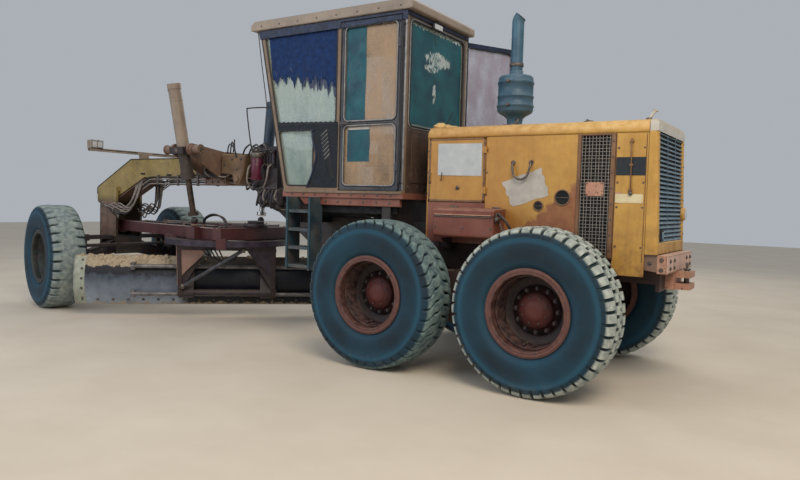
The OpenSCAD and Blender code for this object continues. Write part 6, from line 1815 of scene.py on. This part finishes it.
def makeValveBank():
    # Spool blocks, fittings, hoses and the magenta filter at the valve bank.
    shape = Shape()
    random.seed(53)
    for side in (1, -1):
        y0 = 0.401
        for k in range(7):
            x = 0.175 + 0.05 * k
            shape.box((x, side * y0, 1.86), (x + 0.04, side * (y0 + 0.03), 2.06), 0.005, 0)
            shape.rod((x + 0.02, side * (y0 + 0.026), 2.03), (x + 0.02, side * (y0 + 0.06), 2.03), 0.01, 1, 8)
            shape.rod((x + 0.02, side * (y0 + 0.026), 1.89), (x + 0.02, side * (y0 + 0.058), 1.89), 0.012, 1,
                      8)
            if (k + (side > 0)) % 2:
                x1 = x + random.uniform(-0.04, 0.25)
                shape.tube([(x + 0.02, side * (y0 + 0.055), 1.89), (x + 0.03, side * (y0 + 0.09), 1.85),
                            (x + 0.06, side * (y0 + 0.08), 1.7 + 0.03 * random.random()),
                            (x1 + 0.12, side * (0.33 + 0.02 * random.random()), 1.61),
                            (x1 + 0.28, side * 0.2, 1.64 + 0.02 * k)], 0.011, 2 if k % 3 else 3, 7, 6)
            else:
                shape.tube([(x + 0.02, side * (y0 + 0.055), 2.03), (x + 0.02, side * (y0 + 0.085), 2.06),
                            (x + 0.1, side * (y0 + 0.05), 2.12), (x + 0.3, side * 0.33, 2.09),
                            (x + 0.42, side * 0.25, 2.03)], 0.01, 2, 7, 6)
        for k in range(4):
            shape.tube([(0.2 + 0.08 * k, side * (0.25 + 0.02 * k), 1.615),
                        (0.16 + 0.08 * k, side * (0.3 + 0.02 * k), 1.5),
                        (0.04 + 0.05 * k, side * 0.28, 1.43 - 0.02 * k),
                        (-0.12, side * (0.24 + 0.02 * k), 1.46), (-0.2, side * 0.2, 1.5)], 0.012,
                       2 if k % 2 else 3, 7, 6)
        for x in (0.2, 0.33, 0.46):
            shape.nut((x, side * 0.26, 2.1), (0, 0, 1), 0.014, 0.012, 1)
        # swivel block and loops that hang below the bank
        shape.box((0.1, side * 0.14, 1.44), (0.49, side * 0.39, 1.64), 0.03, 0)
        shape.rod((0.2, side * 0.3, 1.452), (0.2, side * 0.3, 1.4), 0.06, 0, 18)
        shape.rod((0.38, side * 0.26, 1.452), (0.38, side * 0.26, 1.412), 0.05, 1, 18)
        for k in range(7):
            x, spread = random.uniform(0.08, 0.44), random.uniform(-0.1, 0.16)
            drop = random.uniform(1.38, 1.5)
            shape.tube([(x, side * 0.38, 1.62), (x + 0.3 * spread, side * random.uniform(0.41, 0.44), 1.56),
                        (x + 0.7 * spread, side * 0.43, drop + 0.03), (x + spread, side * 0.4, drop),
                        (x + spread + 0.03, side * 0.34, drop + 0.05), (x + spread, side * 0.3, 1.52)], 0.011,
                       2 if k % 6 else 3, 7, 6)
    # filter with its head, and a small reservoir behind it
    fx, fy = 0.365, 0.505
    shape.rod((fx, fy, 1.715), (fx, fy, 1.965), 0.062, 4, 28)
    shape.lathe([(0.0, 0.0), (0.04, 0.0), (0.062, -0.02)][::-1], (fx, fy, 1.735), (0, 0, 1), 4, 28)
    shape.rod((fx, fy, 1.962), (fx, fy, 2.02), 0.07, 1, 24)
    shape.box((fx - 0.05, 0.4, 1.98), (fx + 0.05, fy, 2.03), 0.01, 1)
    shape.rod((fx + 0.01, fy, 2.016), (fx + 0.01, fy, 2.06), 0.02, 1, 12)
    return shape.make("valve_trim", "front_frame", [darkSteel, bolt, hose, hoseBright, magenta])


def makeLampBar():
    # Lamp frames with tube rims, caps and bolts at each end of the bar
    shape = Shape()
    for side in (1, -1):
        a, b = 0.66, 0.83
        for f in (1, -1):
            x = 3.02 + f * 0.045
            for c in (a + 0.047, b - 0.047):
                shape.box((x, side * (c - 0.031), 2.118), (x + f * 0.005, side * (c + 0.031), 2.19), 0.004, 1)
            shape.tube([(x + f * 0.002, side * (a + 0.01), 2.112), (x + f * 0.002, side * (b - 0.01), 2.112),
                        (x + f * 0.002, side * (b - 0.01), 2.197), (x + f * 0.002, side * (a + 0.01), 2.197),
                        (x + f * 0.002, side * (a + 0.01), 2.112)], 0.005, 2, 6, 1)
        for y in (a + 0.045, a + 0.125):
            shape.rod((3.02, side * y, 2.204), (3.02, side * y, 2.214), 0.01, 3, 8)
        shape.tube([(3.0, side * 0.745, 2.104), (2.992, side * 0.7, 2.098), (2.996, side * 0.55, 2.09),
                    (2.996, side * 0.12, 2.092)], 0.006, 4, 6, 5)
        shape.rod((3.02, side * 0.83, 2.085), (3.02, side * 0.842, 2.085), 0.02, 3, 10)
    return shape.make("lamp_trim", "front_frame", [paleGrey, lampGlass, paleTrimAndHighlight, bolt, hose])


def makeStepsTrim():
    # Teal side rails and tread bars of the steps below each door
    shape = Shape()
    outer = cabHW + 0.15
    for side in (1, -1):
        low, high = sorted((side * (outer - 0.012), side * (outer + 0.001)))
        for x in (-0.34, -0.64):
            shape.slab([(low, 0.8), (high, 0.8), (high, 1.535), (low, 1.535)], x - 0.003, x + 0.023, "yz", 0,
                       0.002)
        for z in (0.835, 1.025, 1.215, 1.405):
            for x in np.linspace(-0.6, -0.37, 6):
                shape.rod((x, side * (cabHW + 0.135), z), (x, side * (cabHW - 0.01), z), 0.005, 0, 6)
    return shape.make("step_trim", "front_frame", [tealSteps])


def makeAxleTrim():
    # Bolts along the axle's sloping face, a hose to each end and the pivot's cover
    shape = Shape()
    for side in (1, -1):
        for y in (0.22, 0.36, 0.48):
            shape.nut((frontX - 0.0505, side * y, 0.87 - (y - 0.18) * 0.3 - 0.07), (-1, 0, 0), 0.012, 0.01, 1)
        shape.tube([(frontX - 0.06, side * 0.12, 0.9), (frontX - 0.09, side * 0.22, 0.86),
                    (frontX - 0.08, side * 0.4, 0.79), (frontX - 0.07, side * 0.52, 0.75)], 0.009, 0, 6, 5)
    shape.rod((frontX - 0.056, 0, 0.79), (frontX - 0.05, 0, 0.79), 0.06, 1, 20)
    return shape.make("axle_trim", "front_axle", [hose, bolt])


drawbarTop = 1.1503
liftBall = (1.32, 0.56, 1.225)
guideAngles = (31, -31, 130, -130)
# enamels of the blade's gear: dark and oily, or bare primer, with dust on what faces up
drawbarPaint = paint("oily_dark_red_drawbar_paint", "43191e", "5c2b2d", "1f0f14", rust="40231e",
                     dust="7b685f", lowFrom=0.6, lowTo=0.3, film=0.12, dents=1.5, dustUp=0.4)
armPink = paint("pink_primer_on_blade_arm", "97766c", "ad8b80", "6b4d47", rust="5a3a30", dust="a08c7c",
                lowFrom=0.7, lowTo=0.4)
circlePaint = paint("greasy_purple_black_paint", "221820", "3a2c33", "110c12", rust="432a24", dust="76655a",
                    lowFrom=0.7, lowTo=0.4, film=0.15, dents=1.5, dustUp=0.45)
stepPaint = paint("dark_teal_step_paint", "15303b", "28495a", "0b1a21", rust="5a4034", dust="8f8c80",
                  film=0.3)
lampPaint = paint("faded_tan_grey_lamp_bar_paint", "85776a", "a09284", "564a40", rust="6b4a38", dust="b0a494",
                  film=0.3)
barrelPaint = paint("dark_blue_cylinder_enamel", "0c2a40", "1d4562", "061420", rust="5a4034", dust="8f8c84",
                    chipFrom=0.7, film=0.15)
bladeBack = makeBladeMaterial()
# dried earth: matt and crumbly; and steel worn by it: grey, with a soft sheen
earthLump = plain("caked_earth", "97866c", "b3a286", 45, 0.95, bump=1.4, grain=5.0, dust=0.4,
                  dustTone="b9a07a")
bladeEdge = plain("worn_cutting_edge", "6a6460", "97928c", 60, 0.4, 0.7, 0.4, 2.0, 0.4, "b29b7b")
bladeEnd = plain("pale_grey_green_end_plate", "8f9487", "aab0a2", 80, 0.7, 0.2, 0.8, 4.0, 0.5, "b5a484")
strutPaint = plain("oily_strut_steel", "393c42", "61646a", 60, 0.4, 0.5, 0.3, 2.0, 0.3)
purpleSteel = plain("oily_purple_black_steel", "2a2330", "453b4c", 80, 0.45, 0.3, 0.6, 3.0, 0.4, "7d6c66")
rodBrown = plain("oil_darkened_rod", "3a302c", "5f5149", 60, 0.35, 0.6, 0.2, 2.0, 0.3)
# thin coats and edges
# pale line on the drawbar's upper edges: a painted highlight
edgeHighlight = plain("painted_highlight_on_upper_edge", "8a7a78", "b0a09a", 40, 0.8, bump=0.5, dust=0.4)
weldDark = plain("dark_weld_line", "2f2a1f", "463f2c", 20, 0.7, bump=0.6)
barrelBlue = plain("dark_blue_cylinder_paint", "16364f", "2a5272", 90, 0.35, 0.1, 0.3, 2.0, 0.15)
paleGrey = plain("weathered_lamp_box", "96897c", "b5a99c", 40, 0.6, dust=0.3)
tealSteps = plain("dark_teal_step_steel", "17323c", "2a4c58", 70, 0.5, 0.2, 0.5, 2.5, 0.35)
makeBlade()
makeCircleTrim()
makeDrawbarTrim()
makeBeamTrim()
makeSaddleTrim()
makeLiftTrim(1)
makeLiftTrim(-1)
makeValveBank()
makeLampBar()
makeStepsTrim()
makeAxleTrim()
print("front frame, saddle, drawbar, circle and blade made")


finishes = {redBrown: ["tool_box", "cab_floor"], frameDark: ["rear_frame", "tandem_left", "tandem_right"],
            drawbarPaint: ["drawbar"], circlePaint: ["turning_circle"], pinkRust: ["rear_bumper"],
            hoodPaint: ["hood", "hood_door_left", "hood_door_right"], khaki: ["front_frame"],
            barrelTan: ["lift_barrel_left"], wallPaint: [n for n in nodes
                                                         if n.startswith(("cab_side_", "cab_front"))],
            rearWallPaint: ["cab_rear"], roofPaint: ["cab_roof"],
            doorPaint: ["cab_door_left", "cab_door_right"], tanReflectionGlass: ["door_glass_left"],
            lilacGlass: ["door_glass_right"], blueGrey: ["radiator_guard", "muffler"], stepPaint: ["steps"],
            lampPaint: ["lamp_bar"], barrelPaint: ["lift_barrel_right"],
            darkSteel: ["valve_bank", "front_axle", "lean_bracket_left", "lean_bracket_right", "lean_bar",
                        "knuckle_left", "knuckle_right", "tie_ball", "tie_rod", "drawbar_ball",
                        "blade_carrier", "lift_yoke_left", "lift_yoke_right", "engine_block",
                        "control_console"], castBrown: ["lift_saddle"], rodBrown: ["lift_rod_left"],
            chrome: ["lift_rod_right"], worn: ["moldboard"], vinyl: ["seat"], glass: ["cab_glass"],
            rimRed[rearX]: ["rim_rear_left", "rim_rear_right"],
            rimRed[middleX]: ["rim_middle_left", "rim_middle_right"],
            rimDark: ["rim_front_left", "rim_front_right"],}
for material, names in finishes.items():
    for name in names:
        dress(name, material)


studio = {
    "camera": (-5.239, 6.195, 1.499), "yaw": 32.75, "pitch": 3.02, "roll": 1.655,  # metres and degrees
    "focal": 692.1, "pixels": 800, "sensor": 36,
    "sky": "dfe6ee", "skyLevel": 0.55, "aim": (-1.0, 0, 1.0),
    "lamps": (  # name, place, size, watts, colour
        ("key", (-7.5, 6.5, 8.5), 5.0, 720, "fff1dd"),
        ("fill", (4.5, 9.0, 5.5), 7.0, 330, "e6eeff"),
        ("back", (2.0, -9.0, 7.0), 7.0, 300, "fff6ea"),
    ),
    "floor": ("cec2b0", "d8cdbc"), "floorZ": -0.0005, "floorHalf": 30, "floorRows": 40,
}


def makeCamera():
    # The camera where the photo's was solved to stand, from its heading, pitch and roll
    yaw, pitch, roll = (math.radians(studio[key]) for key in ("yaw", "pitch", "roll"))
    look = Vector((math.sin(yaw) * math.cos(pitch), -math.cos(yaw) * math.cos(pitch), -math.sin(pitch)))
    right = look.cross(Vector((0, 0, 1))).normalized()
    up = right.cross(look)
    right, up = right * math.cos(roll) + up * math.sin(roll), up * math.cos(roll) - right * math.sin(roll)
    data = bpy.data.cameras.new("photo_camera")
    data.sensor_width = studio["sensor"]
    data.lens = studio["sensor"] * studio["focal"] / studio["pixels"]
    camera = bpy.data.objects.new("photo_camera", data)
    camera.matrix_world = Matrix.Translation(studio["camera"]) @ Matrix((right, up,
            -look)).transposed().to_4x4()
    bpy.context.scene.collection.objects.link(camera)
    bpy.context.scene.camera = camera


def makeLight():
    # Large area lamps aimed at the machine, under an even sky
    world = bpy.data.worlds.new("soft_studio")
    bpy.context.scene.world = world
    world.use_nodes = True
    background = world.node_tree.nodes["Background"]
    background.inputs["Color"].default_value = rgb(studio["sky"])
    background.inputs["Strength"].default_value = studio["skyLevel"]
    for name, place, size, power, colour in studio["lamps"]:
        data = bpy.data.lights.new(name, "AREA")
        data.size = size
        data.energy = power
        data.color = rgb(colour)[:3]
        lamp = bpy.data.objects.new(name, data)
        lamp.location = place
        lamp.rotation_euler = (Vector(studio["aim"]) - Vector(place)).to_track_quat("-Z", "Y").to_euler()
        bpy.context.scene.collection.objects.link(lamp)


def makeFloor():
    # A flat grid just below the tyres, in two sandy tones in broad clouds
    net = Net("pale_studio_floor")
    net.finish(net.add("mix", net.patches(900, 0.3, 0.7, 4), *(rgb(tone) for tone in studio["floor"])), 0.9)
    n = studio["floorRows"]
    line = np.linspace(-studio["floorHalf"], studio["floorHalf"], n)
    x, y = np.meshgrid(line, line, indexing="ij")
    points = np.stack([x, y, np.full_like(x, studio["floorZ"])], -1).reshape(-1, 3)
    a = (np.arange(n - 1)[:, None] * n + np.arange(n - 1)).ravel()
    mesh = bpy.data.meshes.new("floor")
    mesh.from_pydata(points.tolist(), [], np.stack([a, a + n, a + n + 1, a + 1], -1).tolist())
    mesh.materials.append(net.material)
    floor = bpy.data.objects.new("floor", mesh)
    bpy.context.scene.collection.objects.link(floor)


makeCamera()
makeLight()
makeFloor()
bpy.context.scene.view_settings.view_transform = "Standard"
print("camera, light and floor made")
